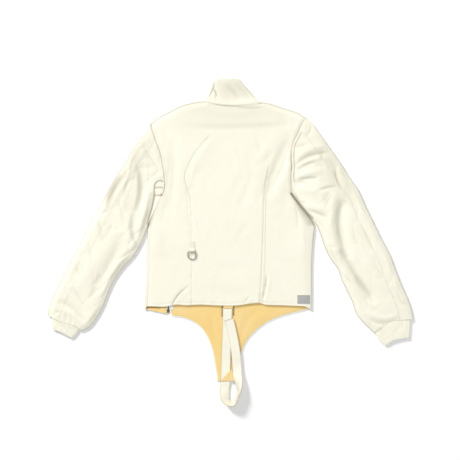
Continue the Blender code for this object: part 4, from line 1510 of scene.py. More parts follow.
# Sleeves: outer x, outer y, inner x, inner y, from the armhole to the cuff seam
LEFT_SLEEVE = (
    (-224, 332.5, -212.5, 131.5), (-237, 306, -213.5, 126), (-251, 292, -215, 120), (-270, 266, -217, 112),
    (-298, 220, -221.5, 92), (-332, 165, -230, 64), (-363, 108, -237, 38), (-393, 53, -251, 0),
    (-419, 1, -270, -34), (-444, -46, -301, -69), (-470, -98, -326, -105), (-490, -136, -341, -137),
    (-503, -169, -357, -178), (-509, -189, -379, -216), (-510, -199, -399, -239), (-510, -204, -417, -247),
)
RIGHT_SLEEVE = (
    (211, 349.5, 170.4, 139), (229, 334, 177.5, 128.6), (248, 309, 185.8, 116), (276, 269, 196.8, 102),
    (304, 229, 210.6, 84.8), (330, 188, 225.8, 66), (358, 147, 241, 47), (378, 102, 252, 22),
    (400, 57, 264, -14), (422, 12, 280, -46), (445, -32, 300, -74), (462, -77, 311, -105),
    (479, -119, 325, -134), (494, -153, 340, -165), (505, -184, 352, -199), (511, -214, 399, -252),
)
LEFT_SLEEVE_END = (
    (-510, -204), (-497, -211), (-483, -218), (-469, -224), (-446, -229.6), (-431, -236), (-417, -247),
)
RIGHT_SLEEVE_END = (
    (511, -214), (486, -216), (469, -217), (456, -219), (438, -229), (419, -241), (399, -252),
)
LEFT_SLEEVE_FOLDS = (
    ("cap crease", -248, 278, -224, 240, -194, 192, 12, 4, -1.8),
    ("cap crease lip", -254, 262, -236, 226, -206, 178, 9, 14, 1.6),
    ("cap pinch", -232, 330, -222, 300, -214, 268, 5, 5, -1.2),
    ("upper fold", -271, 224, -262, 150, -279, 82, 7, 26, 2.8),
    ("upper shade", -258, 220, -246, 150, -262, 84, 14, 8, -1.8),
    ("elbow fold", -278, 88, -286, 34, -266, -14, 6, 20, 2.6),
    ("elbow shade", -266, 84, -270, 30, -252, -10, 10, 8, -1.6),
    ("inner swell", -236, 150, -240, 86, -254, 30, 10, 10, 2.0),
    ("outer shade", -298, 197, -321, 153, -346, 105, 9, 9, -2.8),
    ("outer swell", -306, 172, -300, 110, -320, 60, 14, 14, 1.8),
    ("fork a", -371, 63, -363, 35, -357, 4, 5, 7, -1.2),
    ("fork b", -329, 52, -340, 29, -354, 4, 5, 7, -1.2),
    ("forearm shade", -304, 27, -330, -43, -377, -125, 8, 14, -2.8),
    ("forearm lip", -284, 0, -312, -60, -352, -140, 12, 12, 1.8),
    ("forearm swell", -350, -6, -390, -70, -436, -140, 20, 20, 2.2),
    ("forearm second", -400, -20, -424, -70, -440, -120, 9, 12, -1.3),
    ("wrist shade", -486, -169, -449, -176, -405, -223, 8, 8, -1.8),
    ("wrist swell", -478, -192, -446, -200, -418, -230, 8, 8, 1.4),
    ("wrist crease", -430, -64, -424, -86, -416, -106, 4, 6, -0.9),
    ("elbow crease a", -326, 124, -306, 102, -292, 80, 5, 8, -0.9),
    ("elbow crease b", -352, 92, -330, 76, -310, 60, 5, 7, -0.8),
    ("notch fold", -237, 303, -222, 295, -215, 272, 3, 6, -1.4),
    ("cap slant", -256, 258, -270, 234, -280, 208, 4, 7, -1.1),
    ("streak a", -289, 226, -296, 184, -318, 146, 4, 6, -1.1),
    ("streak b", -276, 178, -292, 150, -300, 118, 4, 6, -1.0),
    ("streak c", -310, 150, -306, 120, -318, 92, 4, 6, -0.9),
    ("inner low crease", -264, -18, -289, -34, -320, -54, 4, 6, -1.4),
    ("wrist slant", -432, -126, -422, -156, -397, -196, 5, 8, -1.4),
    ("wrist small", -492, -190, -480, -195, -467, -194, 3, 4, -0.9),
    ("forearm end", -360, -90, -376, -122, -396, -158, 7, 9, -1.8),
)
RIGHT_SLEEVE_FOLDS = (
    ("cap crease a", 184, 216, 224, 243, 284, 250, 5, 12, -2.6),
    ("cap swell a", 186, 234, 228, 262, 280, 266, 10, 8, 2.2),
    ("cap hollow a", 250, 240, 276, 226, 292, 204, 12, 14, -1.8),
    ("cap crease b", 186, 202, 212, 218, 246, 225, 3, 8, -2.0),
    ("cap swell b", 190, 210, 222, 231, 256, 236, 5, 5, 1.6),
    ("cap crease c", 178, 170, 206, 178, 246, 181, 3, 7, -2.0),
    ("cap swell c", 184, 184, 214, 193, 256, 200, 7, 7, 2.0),
    ("cap crease d", 180, 170, 196, 167, 212, 164, 2.5, 5, -1.2),
    ("cap swell d", 188, 156, 220, 146, 262, 146, 9, 9, 1.8),
    ("cap crease e", 184, 266, 196, 271, 210, 272, 3, 5, -0.9),
    ("cap crease f", 232, 214, 248, 216, 262, 212, 3, 6, -1.0),
    ("cap side shade", 262, 294, 290, 262, 316, 216, 6, 12, -1.8),
    ("deep crease", 238, 142, 268, 153, 298, 157, 3.5, 8, -2.0),
    ("elbow crease", 281, 146, 272, 127, 261, 106, 5, 10, -2.0),
    ("elbow swell", 296, 142, 288, 118, 276, 90, 12, 8, 2.0),
    ("deep valley", 318, 118, 308, 46, 332, -44, 12, 10, -4.8),
    ("deep valley lip", 292, 102, 280, 42, 302, -34, 9, 12, 2.8),
    ("valley far side", 350, 110, 340, 40, 360, -50, 18, 16, 0.8),
    ("forearm shade", 308, -20, 356, -92, 408, -170, 9, 12, -4.4),
    ("forearm shade end", 352, -98, 376, -128, 402, -158, 6, 9, -1.8),
    ("forearm near lip", 288, -40, 330, -100, 372, -158, 9, 9, 2.0),
    ("forearm far swell", 350, -6, 394, -70, 444, -140, 16, 16, 2.0),
    ("inner crease", 214, 90, 241, 83, 276, 68, 3.5, 8, -2.1),
    ("inner swell", 206, 108, 238, 98, 278, 88, 8, 8, 1.8),
    ("outer fold a", 295, 219, 300, 181, 314, 144, 5, 10, -2.0),
    ("outer fold lip", 304, 222, 312, 184, 328, 150, 10, 6, 1.5),
    ("shoulder pinch", 222, 328, 219, 312, 212, 294, 4, 8, -1.6),
    ("wrist crease", 374, -200, 424, -226, 475, -209, 5, 8, -1.7),
    ("wrist swell", 378, -188, 424, -212, 472, -196, 8, 7, 1.5),
    ("cuff side crease", 466, -127, 477, -161, 503, -178, 7, 7, -1.4),
    ("armpit crease", 262, -12, 282, -40, 300, -56, 5, 8, -1.6),
    ("armpit swell", 276, 6, 296, -24, 314, -44, 8, 8, 1.2),
    ("outer seam drag", 366, 46, 384, 8, 398, -24, 5, 8, -1.0),
    ("small a", 253, 18, 258, 12, 262, 4, 4, 5, -0.8),
    ("small f", 268, -8, 280, -12, 293, -13, 3, 4, -1.1),
    ("small g", 306, -74, 326, -98, 346, -118, 3, 5, -1.3),
    ("small h", 403, -247, 424, -238, 446, -226, 3, 5, -1.0),
    ("streak a", 372, 38, 390, 8, 404, -24, 3, 5, -0.9),
    ("streak b", 344, 52, 352, 4, 372, -46, 4, 6, -0.8),
    ("streak c", 398, -40, 420, -86, 440, -120, 5, 7, -0.9),
    ("streak d", 330, 140, 344, 112, 352, 76, 5, 8, -0.8),
    ("small b", 295, -77, 305, -88, 316, -97, 4, 6, -1.0),
    ("small c", 300, -91, 314, -104, 327, -113, 4, 5, -0.9),
    ("small d", 391, -178, 398, -186, 408, -192, 4, 5, -0.9),
    ("small e", 474, -166, 488, -174, 502, -178, 4, 5, -0.9),
)
# Painted shade along the sleeves' folds and creases, and broad painted shade on the upper arms: name, start
# x, y, middle x, y, end x, y, width, darkness
LEFT_SLEEVE_PAINTED_SHADE = (
    ("inner side", -232, 96, -250, 40, -266, -20, 8, 0.14),
    ("elbow streak", -318, 118, -306, 84, -300, 48, 4, 0.16),
    ("shoulder streak", -276, 216, -288, 172, -300, 140, 4, 0.18),
    ("forearm streak", -404, 10, -392, -40, -398, -84, 5, 0.12),
    ("upper arm", -236, 310, -280, 200, -330, 90, 40, 0.21),
    ("upper fold", -264, 218, -252, 150, -268, 84, 7, 0.24),
    ("elbow fold", -270, 84, -276, 30, -258, -12, 6, 0.22),
    ("outer patch", -303, 192, -333, 142, -346, 96, 9, 0.5),
    ("forearm shade", -298, 24, -322, -34, -372, -118, 9, 0.26),
    ("forearm end", -356, -90, -376, -128, -396, -158, 6, 0.24),
    ("fork", -372, 64, -362, 32, -357, 0, 4, 0.20),
    ("cap crease", -246, 274, -224, 238, -196, 196, 2.5, 0.18),
    ("cap slant", -252, 264, -268, 236, -282, 204, 6, 0.22),
    ("wrist", -488, -170, -449, -178, -405, -224, 4, 0.20),
)
RIGHT_SLEEVE_PAINTED_SHADE = (
    ("upper arm", 226, 320, 280, 200, 330, 90, 42, 0.19),
    ("cap crease a", 185, 224, 225, 245, 270, 252.5, 1.5, 0.45),
    ("cap crease e", 188, 266, 200, 272, 215, 278.5, 1.4, 0.3),
    ("cap crease d", 179, 168.5, 196, 171.5, 215, 165.5, 1.3, 0.5),
    ("cap side", 252, 238, 276, 226, 292, 206, 10, 0.12),
    ("cap crease b", 192, 210, 215, 221, 240, 229, 1.5, 0.45),
    ("cap crease c", 189, 178, 217, 182.5, 244, 184.5, 1.4, 0.6),
    ("deep crease", 250, 147, 270, 153, 297, 159, 1.5, 0.45),
    ("outer band", 262, 296, 290, 264, 316, 218, 7, 0.14),
    ("outer fold", 296, 212, 293.5, 186, 312, 142, 1.7, 0.5),
    ("elbow", 286, 138, 272, 118, 264, 98, 2.4, 0.4),
    ("inner crease", 216, 91, 241, 85, 276, 71, 3, 0.20),
    ("deep valley", 308, 120, 299, 46, 324, -62, 9, 0.32),
    ("forearm shade", 306, -14, 350, -92, 402, -166, 7.5, 0.34),
    ("forearm wedge", 346, -92, 370, -118, 396, -150, 9, 0.16),
    ("wrist", 374, -202, 424, -227, 475, -210, 3.5, 0.16),
    ("cuff side", 466, -130, 478, -164, 504, -180, 4, 0.14),
    ("small folds", 306, -76, 326, -100, 346, -118, 3, 0.16),
    ("inner low", 270, -4, 286, -34, 304, -58, 4, 0.16),
    ("outer streak", 370, 36, 388, 6, 402, -26, 3, 0.16),
    ("shoulder", 224, 330, 221, 313, 209, 295, 1.8, 0.5),
)
LEFT_GAP_SHADE = ((-195, 130), (-203, 130.5), (-210, 130), (-215, 110), (-221, 88), (-227, 64), (-230, 48))
RIGHT_GAP_SHADE = ((170, 136), (183, 119), (196, 101), (210, 84), (223, 67), (233, 52))
# The loop seam at the left underarm and the lines beside the sleeves' inner edges, all darkened with painted
# shade: points, width, depth and darkness
LEFT_UNDERARM = (
    (((-213, 136), (-212.5, 150), (-210, 163), (-204, 170), (-197, 173), (-189, 171)), 1.9, 1.4, 1.0),
    (((-212, 152), (-202, 154), (-190, 153)), 1.7, 1.0, 0.9),
    (((-213.5, 133), (-205, 132), (-196, 131.5)), 1.6, 0.4, 1.0),
    (((-213, 131), (-219, 100), (-227, 72), (-231, 52)), 3.0, 0.6, 0.8),
)
RIGHT_UNDERARM = (
    (((168, 138), (178, 130), (187, 118), (198, 104), (212, 87), (230, 68)), 2.8, 0.6, 0.9),
    (((172, 150), (184, 133), (196, 115), (210, 112)), 1.8, 0.9, 0.3),
)


@dataclass
class Sleeve:
    """A two-piece sleeve pressed flat."""

    side: str
    rows: Sequence[Row]
    end: Sequence[Row]
    armhole: Line
    folds: Sequence[tuple]
    painted_shade: Sequence[tuple]
    cut_upper: Cut
    cut_under: Cut
    outer_seam: float = 36.0
    inner_seam: float = 14.0
    seams: Sequence[tuple] = ()
    second_seam: float = 0.1
    turn: float = 60.0
    crumpled: float = 1.0
    puff: float = 3.2
    away: float = 0.45

    def __post_init__(self) -> None:
        """Lays out the tube and its relief."""
        self.outer, self.inner = edge_lines(self.rows)
        away = self.away if self.side == "left" else -self.away
        beside = self.armhole.side(np.linspace(1, 0, 26), away)
        start = Line((self.rows[0][:2], *beside[1:-1], self.rows[0][2:]))
        self.outline = Outline(self.outer, self.inner)
        self.relief = Relief().folds(self.folds).painted_shade(self.painted_shade)
        self.relief.pucker(self.armhole.chain(40), 14.0, 29.0, 0.4)
        # The armhole seams are grooves darkened with painted shade
        self.relief.groove(self.armhole.chain(50), 2.4, 1.3, 0.55)
        # A painted dark rim along both long edges, darker on the edge that faces the light
        lit, dim = (self.outer, self.inner) if self.side == "left" else (self.inner, self.outer)
        self.relief.groove(lit.chain(80), 2.6, 0.0, 0.6).groove(dim.chain(80), 2.2, 0.0, 0.35)
        second = self.armhole.side(np.linspace(0.15, 0.8, 40), 8.0 if self.side == "left" else -8.0)
        self.relief.groove(second, 1.5, 0.5, self.second_seam)
        for points, width, depth, shade in self.seams:
            self.relief.groove(Line(points).chain(30), width, depth, shade)
        end = Line(self.end)
        self.relief.pucker(end.chain(30), 11.0, 19.0, 0.22)
        self.tube = Tube(patch(start, end, self.outer, self.inner), self.height)

    def height(self, spot: np.ndarray, v: np.ndarray) -> np.ndarray:
        """The height of the upper side above its lowest lie.

        Args:
            spot: Places, two coordinates each.
            v: Their shares along the sleeve.

        Returns:
            The heights.
        """
        puff = self.puff * soft_step(v * 4) * (1 - 0.5 * soft_step((v - 0.9) * 10))
        height = 1.0 + puff + self.relief.heights(spot) + unevenness(spot, 0.45)
        height = height + crumple(spot, self.turn, self.crumpled)
        return self.outline.fade(spot) * np.maximum(0.1, height)

    def make(self, stitcher: Stitcher) -> None:
        """Makes the upper and the under panel.

        Args:
            stitcher: Sews a row beside the outer seam of the upper panel.
        """
        v = np.linspace(0, 1, 230)
        width = self.tube.width(v)
        one = np.ones_like(v)
        upper = turns(
            (1 - self.inner_seam / width, 5), (one, 9), (2 * one, 66), (3 - self.outer_seam / width, 0),
        )
        under = turns(
            (3 - (self.outer_seam - 0.4) / width, 13), (3 * one, 9), (4 * one, 24),
            (5 - (self.inner_seam + 0.4) / width, 0),
        )
        for name, turn, cut in (("upper", upper, self.cut_upper), ("under", under, self.cut_under)):
            along = np.broadcast_to(v[:, None], turn.shape)
            outer, inner = self.tube.grid(turn, along)
            if name == "upper":
                stitcher.row(outer[:, -3])
            outer, inner = tucked(outer, inner, 0, 1)
            # Painted shade: darker in low places, along the grooves and along the painted fold shade
            depth = np.maximum(hollows(outer[..., 2], 1.6), self.relief.shade(outer[..., :2]))
            piece = shell(f"{self.side}_{name}_sleeve", outer, inner, along_grid(outer), depth)
            lay(piece, COTTON, [f"sleeve_{self.side}_{name}"])


LEFT_CUFF = ((-500, -210.8, -423, -243.8), (-501, -228, -432, -256.5), (-498, -243, -443, -268))
RIGHT_CUFF = ((504, -216.3, 404, -250.5), (502, -242, 414, -271), (501, -266, 431, -289))
LEFT_CUFF_SEAM = (
    (-500, -210.8), (-483, -219), (-469, -225), (-446, -230.6), (-432, -237.1), (-423, -243.8),
)
RIGHT_CUFF_SEAM = (
    (504, -216.3), (486, -217.3), (469, -218.4), (455.5, -220.5), (437.5, -230.3), (419, -242.1),
    (404, -250.5),
)
LEFT_CUFF_END = ((-498, -243), (-478, -249), (-461, -258), (-443, -268))
RIGHT_CUFF_END = ((501, -266), (475, -268.5), (452, -275), (431, -289))
LEFT_CUFF_FOLDS = (
    ("cuff crease a", -486, -224, -468, -236, -456, -252, 5, 6, -0.9),
    ("cuff crease b", -446, -238, -452, -250, -450, -258, 4, 6, -0.7),
)
RIGHT_CUFF_FOLDS = (
    ("cuff crease a", 486, -228, 470, -244, 462, -262, 5, 6, -0.8),
    ("cuff crease b", 424, -248, 434, -262, 440, -276, 4, 6, -0.7),
)


@dataclass
class Cuff:
    """A rib-knit cuff."""

    side: str
    rows: Sequence[Row]
    seam: Sequence[Row]
    end: Sequence[Row]
    folds: Sequence[tuple]
    cut: Cut
    ribs: int = 26
    per_rib: int = 6
    rib: float = 0.75
    wall: float = 2.2

    def make(self) -> None:
        """Makes the cuff, its ribs raised outside."""
        outer_line, inner_line = edge_lines(self.rows)
        plan = patch(Line(self.seam), Line(self.end), outer_line, inner_line)
        relief = Relief().folds(self.folds)

        def height(spot: np.ndarray, v: np.ndarray) -> np.ndarray:
            """A slight swell across the cuff."""
            swell = band_swell(spot, outer_line.at(v), inner_line.at(v))
            return np.maximum(0.0, (1.3 + relief.heights(spot)) * swell)

        tube = Tube(plan, height, wall=self.wall)
        v = np.linspace(0, 1, 34)
        one = np.ones_like(v)
        columns = self.ribs * self.per_rib
        turn = turns(
            (0.5 * one, columns // 4), (one, 12), (2 * one, columns), (3 * one, 12), (4 * one, columns // 4),
            (4.5 * one - 0.4 / tube.width(v), 0),
        )
        along = np.broadcast_to(v[:, None], turn.shape)
        lap, share = np.floor(turn), turn - np.floor(turn)
        wave = 0.5 - 0.5 * np.cos(2 * np.pi * share * self.ribs)
        end = soft_step((1 - along) * 6) * 0.6 + 0.4
        raised = np.where(lap == 2, (self.rib * wave**0.7 - 0.25) * end, 0.0)
        outer, inner = tube.grid(turn, along, raised)
        outer, inner = tucked(outer, inner, 0, 1)
        # Painted shade in the valleys between the ribs
        depth = np.where(lap == 2, (1 - wave) ** 2, 0.0)
        depth = np.concatenate([depth[:1], depth])
        piece = shell(f"{self.side}_rib_cuff", outer, inner, along_grid(outer), 0.35 * depth)
        lay(piece, RIB_KNIT, [f"cuff_{self.side}"])


COLLAR_EDGES = (
    (-75.5, 396, 88, 393), (-61.5, 411, 73, 403), (-56, 428, 55, 422), (-51.5, 443, 38, 440),
    (-44, 455.5, 25, 457),
)
COLLAR_TOP = ((-44, 455.5), (-25, 458), (0, 458.5), (25, 457))
COLLAR_FOLDS = (
    ("base ridge", -66, 395, 0, 386, 74, 392, 8, 4, 1.5),
    ("dimple", -48, 431, -41.5, 420, -38, 405, 4, 3, -3.0),
    ("dimple lip", -52, 425, -46.5, 414, -42, 403, 3, 4, 2.2),
    ("long fold", -34, 452, -8, 424, 6, 400, 6, 10, -1.6),
    ("second fold", -6, 448, 14, 420, 34, 400, 6, 8, -1.3),
    ("side fold", 22, 446, 44, 420, 72, 400, 5, 9, -1.5),
    ("swell", -20, 446, 10, 434, 40, 410, 12, 12, 1.0),
    ("left shade", -50, 440, -52, 424, -58, 408, 6, 6, -0.7),
)
# Painted shade on the collar: over its standing part, along its rims, its dimple, its folds and its seam
COLLAR_PAINTED_SHADE = (
    ("standing part", 0, 462, 4, 430, 12, 392, 46, 0.28),
    ("left rim", -70, 400, -52, 424, -46, 452, 2.2, 0.8),
    ("right rim", 26, 458, 54, 424, 86, 396, 2.2, 0.8),
    ("dimple", -47, 429, -41.5, 420, -38, 406, 2, 0.6),
    ("right side", 34, 444, 54, 424, 80, 398, 8, 0.16),
    ("middle", -20, 446, 4, 424, 20, 402, 6, 0.12),
    ("right middle", 14, 446, 36, 424, 54, 400, 5, 0.12),
    ("seam", -72, 396, 4, 382.6, 86, 393, 1.6, 0.4),
)


@dataclass
class Collar:
    """The stand collar, one band pressed flat, open at the zip."""

    neck: Line
    opening: float = 0.1

    def make(self, stitcher: Stitcher) -> None:
        """Makes the band.

        Args:
            stitcher: Sews the row above the neck seam and below the top edge.
        """
        left, right = edge_lines(COLLAR_EDGES)
        plan = patch(Shifted(self.neck, 0, 0.4), Line(COLLAR_TOP), left, right)
        relief = Relief().folds(COLLAR_FOLDS).painted_shade(COLLAR_PAINTED_SHADE)

        def height(spot: np.ndarray, v: np.ndarray) -> np.ndarray:
            """A swell across the band with its folds."""
            swell = band_swell(spot, left.at(v), right.at(v)) ** 0.5
            return np.maximum(0.0, (1.6 + relief.heights(spot) + unevenness(spot, 0.2)) * swell)

        tube = Tube(plan, height)
        v = np.linspace(0, 1, 44)
        one = np.ones_like(v)
        turn = turns(
            (self.opening * one, 30), (one, 9), (2 * one, 76), (3 * one, 9), (4 * one, 4),
            (4 + self.opening - 0.6 / tube.width(v), 0),
        )
        along = np.broadcast_to(v[:, None], turn.shape)
        outer, inner = tube.grid(turn, along)
        for row in (4, -5):
            stitcher.row(outer[row, 40:114] + np.array((0.0, 0.0, stitcher.PROUD)))
        outer, inner = tucked(outer, inner, 0, 1)
        # Painted shade: darker in low places and along the collar's folds, rims and seam
        depth = np.maximum(hollows(outer[..., 2], 1.2), relief.shade(outer[..., :2]))
        piece = shell("stand_collar", outer, inner, along_grid(outer), depth)
        lay(piece, COTTON, ["collar"])


# Webbing: x, y, height of its middle, roll in degrees, along the middle of the strap
STRAP_ROUTE = (
    (-8, -182, 5.0, 0), (-9, -211, 5.0, 0), (-10, -259, 5.0, 0), (-12, -301, 5.0, 0), (-13, -343, 5.0, 0),
    (-14, -374, 5.0, 0), (-14.5, -391, 4.6, 0), (-16, -407, 4.4, 3), (-16.5, -422, 6.2, 14),
    (-14, -437, 8.6, 28), (-5, -447.5, 11.2, 48), (6, -450.5, 12.3, 62), (13.5, -445, 12.8, 74),
    (18.5, -433, 12.9, 78), (23.5, -418, 12.6, 70), (24, -402, 11.4, 48), (21.5, -384, 10.2, 24),
    (19, -365, 8.0, 8), (18, -346, 7.2, 0), (16, -323, 7.2, 0), (13, -296, 7.2, 0),
    (6, -259, 7.2, 0), (-1, -228, 7.2, 0), (-5.2, -215, 7.2, 0),
)


@dataclass
class Strap:
    """The webbing loop with the tab and the golden flap that hold it."""

    width: float = 25.0
    wall: float = 1.6
    selvedge: float = 1.4
    near_reach: float = 0.24

    def make(self, stitcher: Stitcher) -> None:
        """Makes the webbing, one length that turns on its edge and comes back over itself.

        Args:
            stitcher: Sews its end down.
        """
        route = Line(STRAP_ROUTE)
        share = np.linspace(0, 1, 300)
        spine = route.at(share)
        ahead = route.at(np.minimum(share + 0.004, 1)) - route.at(np.maximum(share - 0.004, 0))
        along = ahead[:, :2] / np.linalg.norm(ahead[:, :2], axis=1, keepdims=True)
        roll = np.radians(spine[:, 3])
        aside = np.stack([-along[:, 1] * np.cos(roll), along[:, 0] * np.cos(roll), -np.sin(roll)], axis=1)
        out = np.stack([-along[:, 1] * np.sin(roll), along[:, 0] * np.sin(roll), np.cos(roll)], axis=1)
        across = np.linspace(-0.5, 0.5, 23)
        shift = (across * self.width)[None, :, None]
        middle = spine[:, None, :3] + aside[:, None] * shift
        inside = (0.5 - np.abs(across)) * self.width
        thick = self.wall / 2 + 0.12 * np.exp(-((inside / self.selvedge) ** 2))
        thick = thick - 0.25 * np.exp(-((inside / 0.5) ** 2))
        wave = 0.25 * np.sin(share * 46 + 0.8 * np.sin(share * 17))
        middle = middle + out[:, None] * wave[:, None, None]
        half = out[:, None] * thick[None, :, None]
        length = lengths(spine[:, :3])
        uv = np.stack(np.broadcast_arrays(across[None] * self.width, length[:, None]), axis=-1)
        # Painted shade: darker along the selvedges, at the sewn end and where the webbing stands on its edge
        edge = 0.7 * np.exp(-(inside**2))
        ends = 1.6 * np.exp(-(((1 - share) * route.length / 1.5) ** 2))
        depth = np.clip(edge[None] + (ends + 0.5 * np.sin(roll) ** 2)[:, None], 0.0, 1.0)
        piece = shell("webbing_loop", middle + half, middle - half, uv, depth)
        lay(piece, WEBBING, ["crotch_strap"])
        top = middle + half + out[:, None] * stitcher.PROUD
        stitcher.row(top[-4, 1:-1])
        stitcher.row(top[-8, 1:-1])

    def flat(
        self, name: str, corners: Sequence[Row], low: float, near_low: float, columns: int, rows: int
    ) -> tuple[bpy.types.Object, np.ndarray]:
        """A flat four-sided piece of cloth, raised at its near end.

        Args:
            name: The piece's name.
            corners: Near left, near right, far right and far left.
            low: The height of its lower face.
            near_low: The height of that face at its near end.
            columns: Points across.
            rows: Points along.

        Returns:
            The object and its outer grid.
        """
        v, u = share_grid(rows, columns)
        spots = four_sided(corners, v, u)
        sag = 0.12 * np.sin(7 * u + 3 * v)
        rise = (near_low - low) * soft_step((self.near_reach - v) / self.near_reach * 2)
        inner = with_height(spots, low + sag + rise)
        outer = inner + np.array((0.0, 0.0, 0.75))
        # Painted shadow along the near end
        edges = np.exp(-((v * math.dist(corners[3], corners[0]) / 1.2) ** 2))
        return shell(name, outer, inner, spots, 0.5 * edges), outer

    def make_flaps(self, stitcher: Stitcher) -> None:
        """The tab under the hem and the flap at the tip.

        Args:
            stitcher: Sews them down.
        """
        piece, outer = self.flat(
            "golden_anchor_tab", ((-19.5, -184.6), (6.5, -184.6), (4, -150), (-19, -150)), 4.1, 6.0, 16, 40
        )
        lay(piece, LINING, ["strap_anchor"])
        stitcher.row(outer[3, 1:-1])
        piece, outer = self.flat(
            "golden_tip_flap", ((-27, -387.4), (12.5, -387.4), (7.5, -368), (2.5, -353)), 6.0, 6.0, 30, 40
        )
        lay(piece, LINING, ["strap_casing"])
        stitcher.row(outer[5, 1:-1])


@dataclass
class Ring:
    """The metal ring on the back and the cloth tab that holds it."""

    x: float = -108.0
    bar_y: float = -25.0
    bar_z: float = 10.783
    width: float = 25.0
    wire: float = 3.0
    drop: float = 22.0
    corner: float = 3.0
    tilt: float = 4.5
    tab_width: float = 15.0
    tab_wall: float = 0.7
    tab_top: float = 4.0
    tab_base: float = 7.75
    clearance: float = 0.15

    def outline(self) -> list[tuple[float, float]]:
        """The wire's middle line.

        Returns:
            Its points from one end of the bar, closed, with the bar at y = 0.
        """
        reach = (self.width - self.wire) / 2
        centre = self.drop - reach
        points = [(-reach + self.corner, 0.0), (-3.0, 0.0), (3.0, 0.0), (reach - self.corner, 0.0)]
        for i in range(1, 7):
            turn = math.radians(90 - 15 * i)
            points.append((reach - self.corner * (1 - math.cos(turn)), -self.corner * (1 - math.sin(turn))))
        for i in range(29):
            turn = math.pi * i / 28
            points.append((reach * math.cos(turn), -centre - reach * math.sin(turn)))
        for i in range(6):
            turn = math.radians(15 * i)
            points.append((-reach + self.corner * (1 - math.cos(turn)), -self.corner * (1 - math.sin(turn))))
        return [point for i, point in enumerate(points) if math.dist(point, points[i - 1]) > 0.1]

    def make_ring(self) -> None:
        """The D-shaped wire, a closed loop through its bar."""
        curve = bpy.data.curves.new("d_ring_wire", "CURVE")
        curve.dimensions = "3D"
        curve.bevel_depth = self.wire / 2 * MM
        curve.bevel_resolution = 6
        spline = curve.splines.new("POLY")
        points = self.outline()
        spline.points.add(len(points) - 1)
        for spot, (x, y) in zip(spline.points, points):
            spot.co = (x * MM, y * MM, 0.0, 1.0)
        spline.use_cyclic_u = True
        ring = linked("d_ring_wire", curve)
        ring.location = (self.x * MM, self.bar_y * MM, self.bar_z * MM)
        ring.rotation_euler.x = math.radians(self.tilt)
        pick(ring)
        bpy.ops.object.convert(target="MESH")
        ring = bpy.context.object
        settle(ring)
        bpy.ops.object.shade_smooth()
        enter(ring, RING_METAL, ["d_ring"], body="ring")

    def make_tab(self, stitcher: Stitcher) -> None:
        """The cloth tab, folded round the ring's bar and sewn in a box.

        Args:
            stitcher: Sews the box.
        """
        radius = self.wire / 2 + self.clearance + self.tab_wall / 2
        low, base = self.bar_z - radius, self.tab_base
        path = [(self.tab_top, base), (self.tab_top - 6, base), (self.tab_top - 12, base),
                (self.bar_y + 8, (low + base) / 2), (self.bar_y + 4, low)]
        for i in range(17):
            turn = math.pi * i / 16
            path.append((self.bar_y - radius * math.sin(turn), self.bar_z - radius * math.cos(turn)))
        over = base + self.tab_wall + 0.15
        path += [(self.bar_y + 2, self.bar_z + radius - 0.4), (self.bar_y + 5, self.bar_z + radius - 1.6),
                 (self.bar_y + 9, over + 0.5), (self.bar_y + 14, over), (self.tab_top - 8, over),
                 (self.tab_top - 4, over), (self.tab_top, over)]
        spots = Line(path).chain(110)
        ahead = np.gradient(spots, axis=0)
        ahead /= np.linalg.norm(ahead, axis=1, keepdims=True)
        out = np.stack([ahead[:, 1], -ahead[:, 0]], axis=1) * self.tab_wall / 2
        across = np.linspace(-0.5, 0.5, 21)
        x = self.x + across * self.tab_width

        def layer(offset: np.ndarray) -> np.ndarray:
            """One face of the tab.

            Args:
                offset: How far it lies off the middle of the cloth.

            Returns:
                The grid of its points.
            """
            grid = np.zeros((len(spots), len(x), 3))
            grid[..., 0] = x[None]
            grid[..., 1:] = (spots + offset)[:, None]
            return grid

        outer, inner = layer(-out), layer(out)
        for grid in (outer, inner):
            grid[-40:, :, 2] += 0.12 * np.sin(across * 23)[None]
        length = lengths(spots)
        uv = np.stack(np.broadcast_arrays(across[None] * self.tab_width, length[:, None]), axis=-1)
        # Painted shade: darker where the tab turns round the bar, and slightly darker all over
        bend = np.exp(-(((spots[:, 0] - self.bar_y) / 2.2) ** 2))
        depth = np.broadcast_to(np.maximum(0.15, 0.7 * bend)[:, None], uv.shape[:2])
        piece = shell("cloth_ring_tab", outer, inner, uv, depth)
        lay(piece, COTTON, ["ring_tab"])
        y0, y1, edge = self.bar_y + 12, self.tab_top - 2, self.tab_width / 2 - 2
        top = over + self.tab_wall / 2 + 0.05
        corners = [(self.x - edge, y0), (self.x + edge, y0), (self.x + edge, y1), (self.x - edge, y1)]
        for start, end in zip(corners, corners[1:] + corners[:1]):
            stitcher.row(np.array([(*start, top), (*end, top)]))


